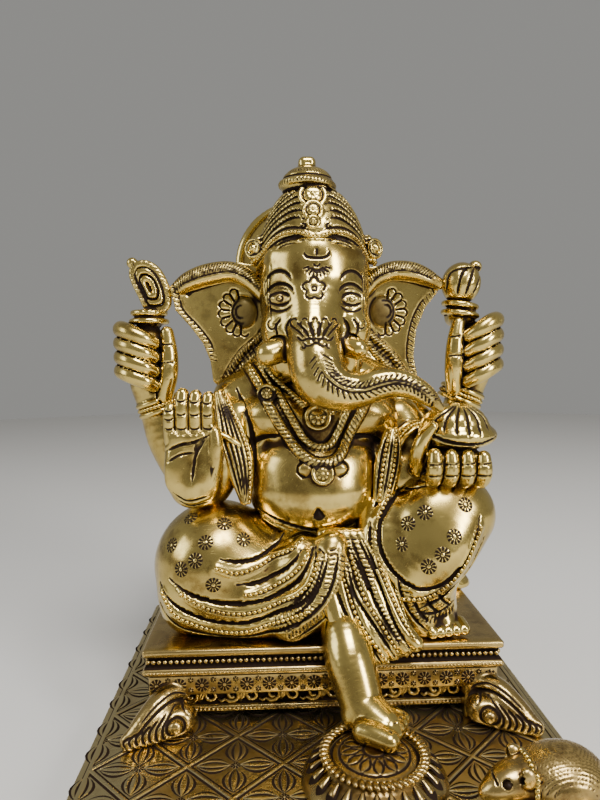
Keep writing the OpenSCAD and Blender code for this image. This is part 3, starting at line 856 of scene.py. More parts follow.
# %% One small shape set on placed points
def make_scatter_tree():
    g, come = begin_tree("Shape on placed points", (("Places", "Geometry", None),
        ("Shape", "Object", None), ("Scale", "Float", 1), ("Material", "Material", None)))
    shape = g.node("GeometryNodeObjectInfo", {"Object": come["Shape"]}).outputs["Geometry"]
    facing = g.node("GeometryNodeInputNamedAttribute", {"Name": "facing"}, data_type="FLOAT_VECTOR")
    spin = g.node("GeometryNodeInputNamedAttribute", {"Name": "spin"}, data_type="FLOAT")
    size = g.node("GeometryNodeInputNamedAttribute", {"Name": "size"}, data_type="FLOAT")
    aim = g.node("FunctionNodeAlignRotationToVector", {"Vector": facing.outputs["Attribute"]}, axis="Z")
    about = g.node("ShaderNodeCombineXYZ", {0: 0, 1: 0, 2: spin.outputs["Attribute"]}).outputs[0]
    turned = g.node("FunctionNodeRotateRotation", {"Rotation": aim.outputs[0], "Rotate By": about},
        rotation_space="LOCAL").outputs[0]
    scale = g.times(come["Scale"], size.outputs["Attribute"])
    set_out = g.node("GeometryNodeInstanceOnPoints", {"Points": come["Places"], "Instance": shape,
        "Rotation": turned, "Scale": scale}).outputs[0]
    return end_tree(g, set_out, come["Material"])


SCATTER = make_scatter_tree()


def scatter(name, shape, points, facing, material, spin=None, size=None, scale=1.0):
    """One shape on many placed points. The shape is a scratch object and is removed."""
    carrier = point_carrier(points, facing, spin, size)
    values = {"Shape": shape, "Scale": scale, "Material": material}
    freeze(carrier, SCATTER, values, name, material)
    bpy.data.objects.remove(shape)

# %% [markdown]
# ## Strokes shared by the whole figure
#
# The cloth is told by three marks. A *fold* is a deep black groove. A *hem* is a low rolled band with a
# shallow inked channel along it, where beads are set later; the ink in the channel is painted shade
# between the beads. *Ticks* are short slanted strokes across a line, as on a rope.

# %% Folds, hems and ticks
HEM_BEADS = []
ROPE_BEADS = []
STAMP_PLACES = []
STAMP_FACING = []
ROSETTE_PLACES = []
ROSETTE_FACING = []
ROSETTE_SIZES = []


def fold(clay, flat, width=1.3, depth=1.0, toward=FRONT):
    """A deep groove between two layers of cloth."""
    clay.draw(flat, width * 0.88, depth, 1, toward)


def hem(clay, flat, half, swell):
    """A rolled band with a channel of beads along it, inked as painted shade between the beads."""
    line = smooth_path(flat)
    clay.emboss(line, half, swell, 0.8)
    clay.engrave(line, 2.2, 0.5)
    HEM_BEADS.append(clay.face_path(line))


def ladder(spine, half, every, slope=0.6):
    """The ends of short slanted strokes across an (x, z) line."""
    line = even_steps(smooth_path(spine), every)
    way = np.gradient(line, axis=0)
    way /= np.maximum(np.linalg.norm(way, axis=1), 1e-9)[:, None]
    across = np.stack([-way[:, 1], way[:, 0]], axis=1)
    reach = across * half + way * slope * half
    return np.stack([line - reach, line + reach], axis=1)


def ticks(clay, spine, half, every, slope=0.6, width=0.5, depth=0.35, toward=FRONT):
    clay.strokes(ladder(spine, half, every, slope), width, depth, 0.9, toward)


def stamp_at(clay, places):
    """Marks where a starburst stamp is struck later."""
    at = clay.drop(lift(places))
    STAMP_PLACES.extend(at)
    STAMP_FACING.extend(clay.normal(at))


def medallion(clay, at, normal, radius):
    """A disc with a raised rim and an inked channel. A rosette is set on it later."""
    n = unit(normal)
    at = np.array(at, float)
    clay.egg(at, np.abs(n) * 1.0 + (1 - np.abs(n)) * radius, 0.2)
    clay.add(ring(at + n * 0.3, n, radius, 0.7), 0.2)
    clay.carve(ring(at + n * 0.9, n, radius * 0.78, 0.42), 0.1, 1)
    ROSETTE_PLACES.append(at + n * 0.95)
    ROSETTE_FACING.append(n)
    ROSETTE_SIZES.append(radius * 0.72)

# %% [markdown]
# ## Head, trunk and tusks
#
# The skull, the face and the trunk are one casting. Everything on the forehead is chiselled: brows, lids,
# a U mark with its centre stroke, a half sun, a small rosette, and a five-petalled lotus across the root
# of the trunk. A feathered band runs down the trunk to its tip.

# %% Face lines
def feather_band(clay, spine, width, tick, every):
    """Two lines along a spine, with slanted ticks outside them."""
    line = even_steps(smooth_path(spine, 8), 0.5)
    way = np.gradient(line, axis=0)
    way /= np.linalg.norm(way, axis=1)[:, None]
    across = np.stack([-way[:, 1], way[:, 0]], axis=1)
    fade = np.linspace(1, 0.45, len(line))[:, None]
    for side in (-1, 1):
        clay.engrave(line + across * side * width * fade, 0.6, 0.4)
        at = np.arange(2, len(line) - 2, max(int(every / 0.5), 1))
        start = line[at] + across[at] * side * (width + 0.5) * fade[at]
        end = start + (across[at] * side * tick + way[at] * tick * 0.9) * fade[at]
        clay.strokes(np.stack([start, end], axis=1), 0.55, 0.4)


def engrave_eye(clay, x, z, side):
    """Almond lids round an eyeball, a hooded socket and an arched brow."""
    at = clay.drop([(x, 0, z)])[0]
    clay.egg(at + (0, 1, 0), (4.6, 2.2, 3.6), 1.4)
    clay.engrave(arc((x, z + 0.2), (4.6, 4.6), 15, 165), 0.95, 0.65)
    clay.engrave(arc((x, z), (4.4, 3.9), 205, 335), 0.7, 0.45, 0.8)
    upper = arc((x, z - 0.5), (3.3, 2.4), 5, 175)
    lower = arc((x, z - 0.1), (3.3, 1.9), 185, 355)
    clay.engrave(upper, 0.9, 0.6)
    clay.engrave(lower, 0.75, 0.5)
    ball_at = clay.drop([(x, 0, z)])[0]
    clay.egg(ball_at + (0, 0.5, 0), (2, 1, 1.3), 0.2)
    clay.engrave(arc((x, z), (1.05, 0.95), 0, 360, 12), 0.45, 0.35)
    clay.engrave(arc((x + side * 0.2, z + 0.1), (3.9, 3.4), 25, 155), 0.45, 0.3, 0.7)
    brow = arc((x + side * 0.3, z + 3.6), (4.4, 5.2), 22, 158)
    clay.engrave(brow, 1, 0.6)


def engrave_forehead(clay, x):
    """The marks between the crown and the trunk."""
    u_mark = smooth_path([(x - 3.6, 154), (x - 3.9, 152.8), (x - 3, 151.6), (x - 1.6, 151.3), (x, 151.2),
        (x + 1.8, 151.3), (x + 3.2, 151.7), (x + 4, 152.8), (x + 3.4, 154)], 6)
    clay.engrave(u_mark, 0.9, 0.55)
    clay.engrave([(x, 153.9), (x, 152.2)], 0.85, 0.5)
    sun = (x, 149.4)
    clay.engrave(arc(sun, (0.9, 0.9), 180, 360), 0.5, 0.4)
    clay.engrave(arc(sun, (2.1, 2), 190, 350), 0.55, 0.4)
    rays = []
    for a in np.radians(np.linspace(200, 340, 9)):
        rays.append([(sun[0] + r * math.cos(a) * 1.1, sun[1] + r * math.sin(a)) for r in (2.5, 4)])
    clay.strokes(rays, 0.5, 0.4)
    rosette = (x - 1, 141.8)
    clay.engrave(arc(rosette, (0.8, 0.8), 0, 360, 10), 0.5, 0.4)
    for k in range(5):
        a = 72 * k + 90
        centre = (rosette[0] + 2.3 * math.cos(math.radians(a)),
                  rosette[1] + 2.3 * math.sin(math.radians(a)))
        clay.engrave(arc(centre, (1.3, 1.3), a - 125, a + 125, 12), 0.65, 0.5)


def engrave_trunk_lotus(clay, x, foot, top):
    """Five narrow petals across the root of the trunk, with a bow below."""
    high = top - foot
    for k in (-2, 2, -1, 1, 0):
        tip = x + 3.1 * k
        root = x + 1.3 * k
        bend = 0.6 * k
        for side in (-1, 1):
            half = 1.35 - 0.1 * abs(k)
            line = smooth_path([(root + side * 0.3, foot), (root + bend + side * half,
                foot + 0.38 * high), (tip + side * half, foot + 0.76 * high), (tip + side * 0.45, top)],
                6)
            clay.engrave(line, 0.65, 0.5)
        clay.engrave(arc((tip, top - 0.3), (0.7, 0.6), 20, 160, 6), 0.6, 0.45)
    for side in (-1, 1):
        clay.draw([(x, foot - 0.6), (x + side * 2, foot + 0.2), (x + side * 4.2, foot - 0.4),
                   (x + side * 6, foot + 1.4)], 0.7, 0.5)
        clay.draw([(x, foot - 0.8), (x + side * 1.8, foot - 2), (x + side * 3.6, foot - 1.8)], 0.6, 0.45)
        clay.engrave(spiral((x + side * 3.9, foot - 2.2), 1.1, 90, side * 0.9, 12), 0.55, 0.4)
    clay.engrave(arc((x, foot - 0.6), (0.8, 0.8), 0, 360, 10), 0.5, 0.4)


# %% The head
TRUNK = [(-2.5, -3, 138, 9.6), (-2.6, -8, 130, 8.1), (-2.2, -12.8, 121.5, 8.6), (-0.4, -16, 114.8, 8.2),
         (4.5, -18, 111.4, 6.4), (10, -19, 111.3, 5.3), (15.2, -20, 112.9, 4.9), (20, -20.5, 113.5, 4.4),
         (25, -21, 112.4, 3.7), (29.8, -20.6, 109.7, 2.9), (34.2, -18.8, 106, 1.5)]


def sculpt_head():
    clay = Clay((-25, -32, 103), (40, 32, 169), 0.39)
    clay.egg((-0.8, 10, 143), (17.4, 16.5, 20))
    clay.add(block((-17.6, -5.5, 122), (15.6, 20, 160), 8.5), 5)
    clay.egg((-1.4, -4.2, 145), (8.5, 4.8, 15), 6)
    for x in (-11.5, 9.5):
        clay.egg((x, -2.5, 130), (6.3, 6.5, 7.5), 4)
        clay.egg((x * 0.95, 3, 120), (5.5, 6, 7), 4)
    clay.egg((-1.4, 10, 118), (12.5, 12, 9), 4)
    clay.limb(TRUNK, 3.2, 7)
    clay.keep(slab_under((0, 0.42, 1), 154.8 / math.hypot(1, 0.42)))
    tusks = ([(-8.5, -4, 124.5, 3.3), (-12.5, -7.5, 123.4, 4), (-16.2, -9.4, 122.2, 3.9)],
             [(5.5, -5, 125.5, 2.8), (8.6, -8, 124.4, 3.4), (11.2, -10, 123.4, 3.3)])
    for tusk in tusks:
        clay.carve_limb(tusk[:1] + tusk[1:2], 0.7)
        clay.limb(tusk, 0.25)
        for back, swell in ((0, 1.3), (1, 0.5)):
            at = np.array(tusk[0][:3]) + (np.array(tusk[1][:3]) - tusk[0][:3]) * (0.25 + 0.5 * back)
            clay.add(ring(at, np.array(tusk[1][:3]) - tusk[0][:3], tusk[0][3] + swell, 0.9), 0.2)
    for x, z, side in ((-12.7, 139.1, -1), (9.8, 138.9, 1)):
        engrave_eye(clay, x, z, side)
    engrave_forehead(clay, -1.2)
    engrave_trunk_lotus(clay, -2.3, 126.4, 132.4)
    feather_band(clay, [(-1.6, 122.6), (-0.8, 118.6), (1.2, 115.2), (5.2, 112.3), (10.5, 111.5),
        (15.5, 112.9), (20.3, 113.8), (25.2, 112.6), (29.6, 109.8), (33.2, 106.9)], 0.75, 2.1, 1.5)
    for side in (-1, 1):
        # Braided hair at the temples, and creases beside the trunk.
        for k in range(4):
            x = -0.9 + side * (14.4 + 0.85 * k)
            clay.engrave([(x, 150 - k), (x + side * 0.4, 144), (x, 132 + 2 * k)], 0.5, 0.4, 0.9)
        clay.draw([(-1.2 + side * 8.2, 133), (-1.2 + side * 9.6, 130), (-1.2 + side * 9, 126.6)], 1.1,
                  0.8)
        clay.draw([(-1.2 + side * 10.8, 133.4), (-1.2 + side * 12.6, 130.6), (-1.2 + side * 12.2, 127.4)],
                  0.8, 0.6)
        clay.engrave(spiral((-1.2 + side * 13.6, 131), 2, 90, -side * 1.2), 0.55, 0.4)
    cast(clay, "head", ["head", "trunk", "right_tusk", "left_tusk"])


sculpt_head()

# %% [markdown]
# ## Crown, parasol and halo
#
# The crown is a tight cap over the skull: a roped edge, festoons above the brow, striped wings that fall
# from the middle to the temples, and a string of medallions up the front. A small ribbed parasol with a
# knob stands on top.

# %% The crown
CROWN_XY = (-1.2, 10.5)


def crown_edge(angle, rise=0.0):
    """Height of the crown's lower edge at an angle from the front, in degrees."""
    return 152.6 - 0.42 * (10.5 - 18.4 * math.cos(math.radians(angle))) + rise


def crown_ring(rise, first=-180, last=180):
    return [(a, crown_edge(a, rise)) for a in np.linspace(first, last, 40)]


def brow_arch(side, rise=0.0):
    """The roped arch over one side of the brow, as (angle, z)."""
    return [(side * 2, 157.6 + rise), (side * 16, 159.2 + rise), (side * 32, 159.4 + rise),
            (side * 48, 157.6 + rise), (side * 64, 154.4 + rise), (side * 82, 151.8 + rise)]


def carve_round(clay, axis, turns, width, depth, ink=1.0, step=2.0):
    """A chisel line through (angle, z) pairs round an upright axis."""
    clay.engrave_at(clay.turn_path(axis, turns, step), width, depth, ink)


def sculpt_crown():
    clay = Clay((-25, -13, 138), (23, 34, 190), 0.36)
    clay.egg((-1.2, 10.2, 150), (18.7, 19, 28.5))
    clay.egg((-2.2, 10.5, 163), (12.5, 12.5, 15), 3)
    clay.keep(slab_under((0, -0.42, -1), -152.6 / math.hypot(1, 0.42)))
    for x, turn in ((-19.6, 12), (17.8, -12)):
        clay.egg((x, 8, 156.5), (2.2, 4.2, 5), 1, turn=(0, turn, 0))
    # The lower edge with its dark line.
    clay.emboss_at(clay.turn_path(CROWN_XY, crown_ring(0.9)), 0.7, 0.4, 0.2, 0.8)
    # Roped arches over the brow, each above an eye-shaped festoon.
    for side in (-1, 1):
        for rise, width in ((-1.5, 0.9), (1.6, 0.9)):
            carve_round(clay, CROWN_XY, brow_arch(side, rise), width, 0.6)
        ROPE_BEADS.append(clay.turn_path(CROWN_XY, brow_arch(side)))
        for wide, high, width in ((17, 2.6, 0.8), (10, 1.2, 0.6), (20, 3.6, 0.6)):
            t = np.linspace(0.1, 2 * math.pi - 0.1, 26)
            height = 154.6 + high * np.sin(t) - 0.06 * wide * np.cos(t)
            turns = np.stack([side * (28 + wide * np.cos(t)), height], axis=1)
            carve_round(clay, CROWN_XY, turns, width, 0.5, step=1.5)
        # Wings: feathered stripes that rise to the middle and fall to the temples.
        for k in range(6):
            z = 163.6 + 2.5 * k
            turns = [(side * 12, z), (side * 26, z + 0.6), (side * 48, z - 2.2), (side * 70, z - 6.6),
                     (side * 90, z - 9.6)]
            carve_round(clay, CROWN_XY, turns, 1.1, 0.85)
            pairs = [(a, z + 1.1 + 0.9 * math.sin(math.radians((a - 12) * 2)) - 9.0
                      * ((a - 12) / 78) ** 1.3) for a in np.arange(18, 88, 4.5)]
            for angle, height in pairs:
                turns = [(side * angle, height - 0.55), (side * (angle + 1.6), height + 0.55)]
                carve_round(clay, CROWN_XY, turns, 0.45, 0.32, 0.9, step=0.6)
        curl = spiral((side * 14, 161.4), 1, 90, side * 1, 14)
        turns = np.stack([side * 14 + (curl[:, 0] - side * 14) * 4.6, curl[:, 1] - 161.4 + 161.2], axis=1)
        carve_round(clay, CROWN_XY, turns, 0.6, 0.5, step=1.0)
        for k in range(5):
            turns = [(side * (92 + 9 * k), crown_edge(90 + 9 * k, 4)), (side * (95 + 9 * k), 160),
                     (side * (98 + 9 * k), 172)]
            carve_round(clay, CROWN_XY, turns, 0.8, 0.6, step=1.0)
    for a in np.arange(142, 222, 13):
        carve_round(clay, CROWN_XY, [(a, crown_edge(a, 4)), (a, 162), (a, 173)], 0.9, 0.6, step=1.0)
    carve_round(clay, CROWN_XY, crown_ring(3.2, 90, 270), 0.9, 0.5)
    # Medallions up the front, and rosettes by the ears.
    for z, radius in ((171.4, 4), (166.2, 2.7), (162.4, 1.5)):
        at = clay.turn_path(CROWN_XY, [(-3, z), (-3, z + 0.1)], 0.1)[0]
        medallion(clay, at, clay.normal(at[None])[0] * (0, 1, 0.6), radius)
    for x, side in ((-20.9, -1), (19.2, 1)):
        clay.add(ring((x, 5.5, 156.5), (side, -1.2, 0), 2.6, 0.8), 0.3)
        clay.add(ball((x, 4.8, 156.5), 1.3), 0.2)
        clay.engrave(arc((x, 156.5), (2.4, 2.4), 0, 360), 0.5, 0.4)
    # The domed parasol with its roped rim, and the knob. The inked ring carved under the rim is painted
    # shadow.
    top = (-2.8, 10.2)
    carve_round(clay, top, [(a, 175) for a in np.linspace(-180, 180, 30)], 1.8, 1.2)
    clay.egg((top[0], top[1], 177.8), (8.8, 8.8, 6.2), 0.2)
    clay.add(ring((top[0], top[1], 177.6), (0.04, 0, 1), 8.5, 1.2), 0.3)
    carve_round(clay, top, [(a, 179.6) for a in np.linspace(-180, 180, 30)], 0.7, 0.5)
    for a in np.arange(0, 360, 8):
        carve_round(clay, top, [(a, 176.8), (a + 5, 178.8)], 0.45, 0.3, step=0.5)
        carve_round(clay, top, [(a, 180.4), (a - 5, 182)], 0.45, 0.3, step=0.5)
    clay.add(ring((top[0] - 0.1, top[1], 183.6), (0, 0, 1), 2.6, 0.7), 0.2)
    clay.add(block((top[0] - 3, top[1] - 2.9, 183), (top[0] + 2.8, top[1] + 2.9, 187), 1.9), 0.3)
    cast(clay, "crown", ["crown", "parasol"])


def sculpt_halo():
    clay = Clay((-31, 20, 128), (22, 40, 182), 0.5)
    middle = (-4.5, 34.2, 155)
    clay.egg((-4.5, 34.2, 155), (24, 1.5, 24))
    clay.keep(block((-30, 33, 130), (21, 35.6, 180), 0.5))
    clay.add(ring(middle, (0, 1, 0), 22.2, 1.25), 0.3)
    for radius in (17.8, 15.6):
        clay.carve(ring((-4.5, 32.9, 155), (0, 1, 0), radius, 0.45), 0.1, 1)
        clay.carve(ring((-4.5, 35.7, 155), (0, 1, 0), radius, 0.45), 0.1, 1)
    a = np.radians(np.arange(0, 360, 7.5))
    for start, end, front in ((16.2, 17.4, 1), (16.2, 17.4, -1)):
        ends = [np.stack([-4.5 + r * np.cos(a + s), 0 * a, 155 + r * np.sin(a + s)], axis=1) for r,
                s in ((start, 0), (end, 0.03))]
        clay.strokes(np.stack(ends, axis=1), 0.5, 0.3, 0.9, (0, front, 0))
    a = np.radians(np.arange(0, 360, 15))
    ends = [np.stack([-4.5 + r * np.cos(a), 0 * a, 155 + r * np.sin(a)], axis=1) for r in (8.5, 14.6)]
    clay.strokes(np.stack(ends, axis=1), 0.7, 0.3, 0.9, BACK)
    clay.limb([(-1, 20, 144, 3.4), (-1.6, 25, 146, 3), (-2.4, 28, 149, 2.8), (-3.4, 32.5, 152, 2.8)], 0.6)
    cast(clay, "halo", ["halo", "halo_stem"])


sculpt_crown()
sculpt_halo()

# %% [markdown]
# ## Ears
#
# Each ear is a thin plate with a heavy hatched roll along its top, a scalloped shell beside the head, a
# beaded strap down to the shoulder and short strokes along its outer rim.

# %% Ears
RIGHT_EAR = [(-16, 151), (-21, 152.5), (-26, 153.4), (-34, 152.4), (-44, 149), (-48.6, 144), (-47.2, 137),
    (-42.5, 131.5), (-38.5, 126), (-36.2, 120), (-35.4, 113), (-33, 110.5), (-24, 117), (-14, 121)]
LEFT_EAR = [(14, 151), (21, 152), (29, 153.3), (37, 151.4), (43.2, 147), (41.5, 142.5), (38, 138),
            (35, 130.5), (34, 121), (35.5, 114), (33, 111), (24, 116), (13, 121)]


def sculpt_ear(name, outline, roll, shell, side):
    low_x, high_x = (-52, -10) if side < 0 else (10, 47)
    clay = Clay((low_x, 0, 106), (high_x, 24, 158), 0.38)

    def leaf_y(x, z):
        return 15.6 - 0.010 * (np.abs(x) - 27) ** 2 - 0.012 * np.maximum(z - 135, 0) ** 1.5

    clay.add(leaf_plate(outline, leaf_y, 2.6))
    clay.carve(egg((shell[0], 12.4, shell[1]), (6.4, 2.2, 7)), 1, 0.6)
    clay.egg((shell[0] - side * 1, 14.6, shell[1]), (4.6, 2.4, 5.6), 0.5)
    # Painted shade on the ear where it lies close to the head.
    clay.ink_over(egg((side * 15.5, 13, 138), (6, 9, 15)), 0.5)
    # The roll: a hollow carved under it and inked as painted shadow, a fine hatch along its top.
    under = [(p[0], p[1], p[2] - p[3] - 0.9, 1.5 * p[3] / 3.4) for p in roll[:-1]]
    path = smooth_path(under)
    cut, far = clay.bar(path[:, :3] + (0, -0.5, 0), path[:, 3], 2)
    clay.d[cut] = np.maximum(clay.d[cut], -far)
    clay.dark[cut] = np.maximum(clay.dark[cut], np.clip(0.5 - far / clay.cell, 0, 1))
    clay.limb(roll, 0.5, 7)
    spine = [(p[0], p[2] + 0.45 * p[3]) for p in roll]
    clay.draw([(p[0], p[2] - 0.15 * p[3]) for p in roll], 0.6, 0.4)
    ticks(clay, spine, 1.5, 0.95, 0.5)
    # The shell: two curls open to the head, and a fan of scallops on the outer side.
    for radius, width in ((2.2, 0.7), (3.9, 0.9)):
        clay.engrave(arc(shell, (radius * 0.8, radius), 90 if side < 0 else -90, 290 if side < 0 else 110,
            16), width, 0.6)
    for k in range(8):
        a = math.radians((100 + 24 * k) if side < 0 else (80 - 24 * k))
        ends = [(shell[0] + r * math.cos(a) * 0.9, shell[1] + r * math.sin(a)) for r in (4.6, 7.4)]
        clay.engrave(ends, 0.75, 0.55)
        middle = a + math.radians(12 if side < 0 else -12)
        centre = (shell[0] + 7.0 * math.cos(middle) * 0.9, shell[1] + 7.0 * math.sin(middle))
        turn = math.degrees(middle)
        clay.engrave(arc(centre, (1.4, 1.4), turn - 85, turn + 85, 8), 0.6, 0.45)
    # Strokes along the rim, and a line inside them.
    rim = outline[5:10]
    inner = [(x - side * 2.4, z + 0.6) for x, z in rim]
    clay.draw(inner, 0.6, 0.4)
    ticks(clay, [(x - side * 1.1, z + 0.3) for x, z in rim], 0.8, 1.5, 0.5)
    # The strap: two ropes with strokes between.
    foot = outline[-3]
    top = (side * 16.5, 128.5)
    for shift in (0, 4.6):
        line = [(foot[0] - side * shift * 0.55, foot[1] + 0.8 + shift * 0.8), (side * 26, 117.5 + shift),
                (side * 20.5, 122.5 + shift), (top[0], top[1] + shift * 0.6)]
        clay.emboss(smooth_path(line), 1.1, 0.9, 0.3, rim=1.0)
        ticks(clay, line, 1, 1.1, 0.6)
    middle = [(foot[0] - side * 1.4, foot[1] + 3), (side * 26, 119.8), (side * 20.5, 124.8)]
    ticks(clay, middle, 1.2, 1.6, 0.2, 0.6, 0.4)
    cast(clay, name, [name.replace(" ", "_")])


sculpt_ear("right ear", RIGHT_EAR, [(-18, 11.5, 142.5, 2.6), (-22.5, 11, 147, 3),
    (-28.5, 10.6, 149.7, 3.4), (-36, 10.6, 148.8, 3.7), (-42.5, 11, 146.6, 3.3), (-47.4, 12, 143.6, 2.2)],
           (-25.5, 136.5), -1)
sculpt_ear("left ear", LEFT_EAR, [(16.5, 11.5, 143.5, 2.6), (20, 11, 147.5, 3), (25.5, 10.6, 149.8, 3.3),
    (32, 10.6, 149.6, 3.4), (37.5, 11.2, 147.9, 2.9), (42.2, 12, 145.6, 2)], (24, 136.5), 1)

# %% [markdown]
# ## Body
#
# The belly is left smooth and bright. Round it go a chest crease, a navel, a dark waist line, three
# strands of necklace with a pendant in a loop and a second pendant below, and a textured shawl band down
# each side.

# %% Torso, hips, necklace and shawls
def strand(clay, flat, radius, every):
    """One strand of the necklace: a hatched cord in an inked bed."""
    line = smooth_path(flat)
    bed = clay.face_path(line, 0.45)
    clay.engrave_at(bed, radius * 2 + 1.8, 0.9)
    clay.limb(np.column_stack([bed - (0, 0.5, 0), np.full(len(bed), radius)]), 0.1)
    ticks(clay, flat, radius * 0.8, every, 0.5, 0.5, 0.4)


def sculpt_torso():
    clay = Clay((-40, -20, 56), (40, 42, 124), 0.45)
    clay.egg((-0.5, 8, 78), (23.5, 21, 17.5))
    clay.egg((0, 19, 80), (25, 18, 22), 5)
    clay.egg((-0.5, 5.5, 86), (22, 16, 12), 3)
    clay.egg((-0.5, 6, 98), (21, 11.5, 10), 3)
    clay.egg((0, 13, 101), (24.5, 15.5, 13), 2.5)
    for side in (-1, 1):
        clay.limb([(side * 23, 15, 105, 9), (side * 9, 14, 108, 9)], 4)
        clay.limb([(side * 27, 14.5, 107, 8.5), (side * 12, 12.5, 114, 9)], 4)
        clay.egg((side * 12.5, 2.5, 102), (12.5, 8.6, 8), 3)
        clay.egg((side * 22, 9, 92), (7.5, 10, 17), 3)
    clay.limb([(-0.5, 13, 104, 12), (-0.5, 12, 112, 11), (-0.5, 11, 119, 10)], 4)
    # Folds of the chest, the belly and the waist.
    clay.draw([(-24, 91.5), (-21, 94), (-18, 95.6), (-12.5, 96.4)], 1.7, 1.1)
    clay.draw([(9, 95.4), (13, 95.8), (17, 95), (21, 92)], 1.7, 1.1)
    clay.draw([(-27, 111), (-25, 106), (-22.5, 99.5), (-21.6, 93.5), (-21.6, 86), (-22, 79)], 2, 1.2)
    clay.engrave([(-3, 70.8), (-1.5, 74.3), (1, 70.8)], 1.1, 0.8)
    clay.ink_over(egg((-1.1, -11.5, 71.6), (1.6, 3, 1.5)), 0.9)
    clay.draw([(-20, 72), (-11, 68.4), (-3, 66.4), (6, 66), (12.5, 69.5), (17, 75.5)], 2.2, 1.4)
    clay.emboss(smooth_path([(-19, 69.5), (-11, 66), (-3, 64), (6, 63.6), (13, 67)]), 1, 0.8, rim=0.9)
    clay.draw([(17, 93), (17.8, 84), (15.6, 74)], 1.4, 1)
    # The back: a spine line, shoulder blades and the rolled waistcloth.
    clay.draw([(0, 112), (0, 98), (0, 84), (0, 70)], 1.2, 0.8, 0.6, BACK)
    for side in (-1, 1):
        clay.draw([(side * 5, 108), (side * 14, 101), (side * 19, 92)], 0.9, 0.6, 0.7, BACK)
    # Necklace strands, from the outermost in.
    strand(clay, [(-23, 118), (-19, 111.5), (-15.5, 104.5), (-12, 98.5), (-8.5, 93.2), (-4.5, 89.8),
        (0, 88.4), (5, 89.8), (8.2, 94.6), (10.4, 99.5), (13.2, 104.5), (15, 108)], 1.6, 1.5)
    strand(clay, [(-21.2, 121), (-16.2, 114.2), (-12.2, 107.4), (-8.9, 101.4), (-6, 96.4), (-3.2, 93.7),
        (0.2, 92.9), (3.4, 94.2), (5.8, 98.2), (7.6, 102.4), (10.2, 106.5)], 1.2, 1.4)
    strand(clay, [(-18.6, 119.5), (-13.2, 113.2), (-9.2, 109.6), (-5.2, 106)], 0.9, 1.3)
    strand(clay, [(3.4, 103.5), (5.6, 106.4), (7.6, 109)], 0.9, 1.3)
    for x in (-5.2, 5.4):
        at = clay.drop([(x, 0, 86.4)])[0]
        clay.egg(at, (2.3, 1.1, 2.1), 0.2)
        side = 1 if x > 0 else -1
        clay.engrave(arc((x, 86.4), (2.5, 2.3), 90, 90 - side * 200, 14), 0.9, 0.7)
    for x, z, radius in ((-0.9, 102, 3.6), (0, 85.3, 2.9), (-16.9, 109.6, 2.5)):
        at = clay.drop([(x, 0, z)])[0]
        medallion(clay, at + (0, -0.7, 0), (0, -1, 0.25), radius)
    cast(clay, "torso", ["torso", "garland", "chest_medal"])


def sculpt_hips():
    clay = Clay((-40, -8, 33.6), (40, 52, 72), 0.52)
    clay.egg((0, 21, 49), (36, 25, 20))
    clay.limb([(-24, 38, 47, 5), (-12, 43.5, 48, 5.4), (0, 45, 47, 5.8), (12, 43.5, 48, 5.4),
               (24, 38, 47, 5)], 1.5)
    clay.keep(above(SEAT_TOP))
    ticks(clay, [(-26, 47), (-12, 48.5), (0, 47.5), (12, 48.5), (26, 47)], 5, 2.2, 0.6, 0.9, 0.6, BACK)
    for z in (54.5, 60.5, 66):
        fold(clay, [(-30, z - 3), (-14, z), (0, z + 1), (14, z), (30, z - 3)], 1.3, 0.8, BACK)
    for z in (57.5, 63.5):
        ticks(clay, [(-30, z - 3), (-14, z), (0, z + 1), (14, z), (30, z - 3)], 1.2, 1.6, 0.5, 0.6, 0.4,
              BACK)
    cast(clay, "hips", ["hips"])


def sculpt_shawl(name, stations, lines, rows):
    """A leaf of cloth along [x, y, z, half width] stations, with fold lines and rows of beads."""
    path = np.array(stations, float)
    clay = Clay(path[:, :3].min(axis=0) - 7, path[:, :3].max(axis=0) + 7, 0.36)
    for part, back in ((-0.62, 0.9), (0, 0), (0.62, 0.9)):
        cord = np.column_stack([path[:, 0] + part * path[:, 3], path[:, 1] + back, path[:, 2],
            np.maximum(0.62 * path[:, 3], 0.9)])
        clay.limb(cord, 1)

    def along(part):
        return smooth_path([(p[0] + part * p[3], p[2]) for p in path])

    for part in lines:
        clay.engrave(along(part), 0.8, 0.6)
    # Each row of beads lies in an inked channel: painted shade between the beads.
    for part in rows:
        clay.engrave(along(part), 1.6, 0.45)
        HEM_BEADS.append(clay.face_path(along(part)))
    cast(clay, name, [name.replace(" ", "_")])


sculpt_hips()
sculpt_torso()
sculpt_shawl("right shawl", [(-32.6, 4.5, 109.5, 1.6), (-31, 2.6, 105, 2.4), (-29.3, 0.6, 100, 3.3),
    (-27.6, -1.4, 94, 4.2), (-26, -3.2, 88, 3.8), (-25, -4, 82, 2.9), (-24.2, -4, 75, 1.4)],
    (-0.7, -0.3, 0.1, 0.45), (0.85,))
sculpt_shawl("left shawl", [(23.5, -2.5, 97, 2), (22, -5.5, 91, 3.2), (20.6, -7.5, 84, 3.2),
    (19, -8.5, 76, 2.2)], (-0.85, 0, 0.85), (-0.5, 0.5))

# %% [markdown]
# ## Arms and hands
#
# Four arms. The rear pair is raised, each fist shut round the stem of an attribute: a looped noose and a
# lotus bud. The front right hand is held up, palm outward. The front left hand holds a sweet.

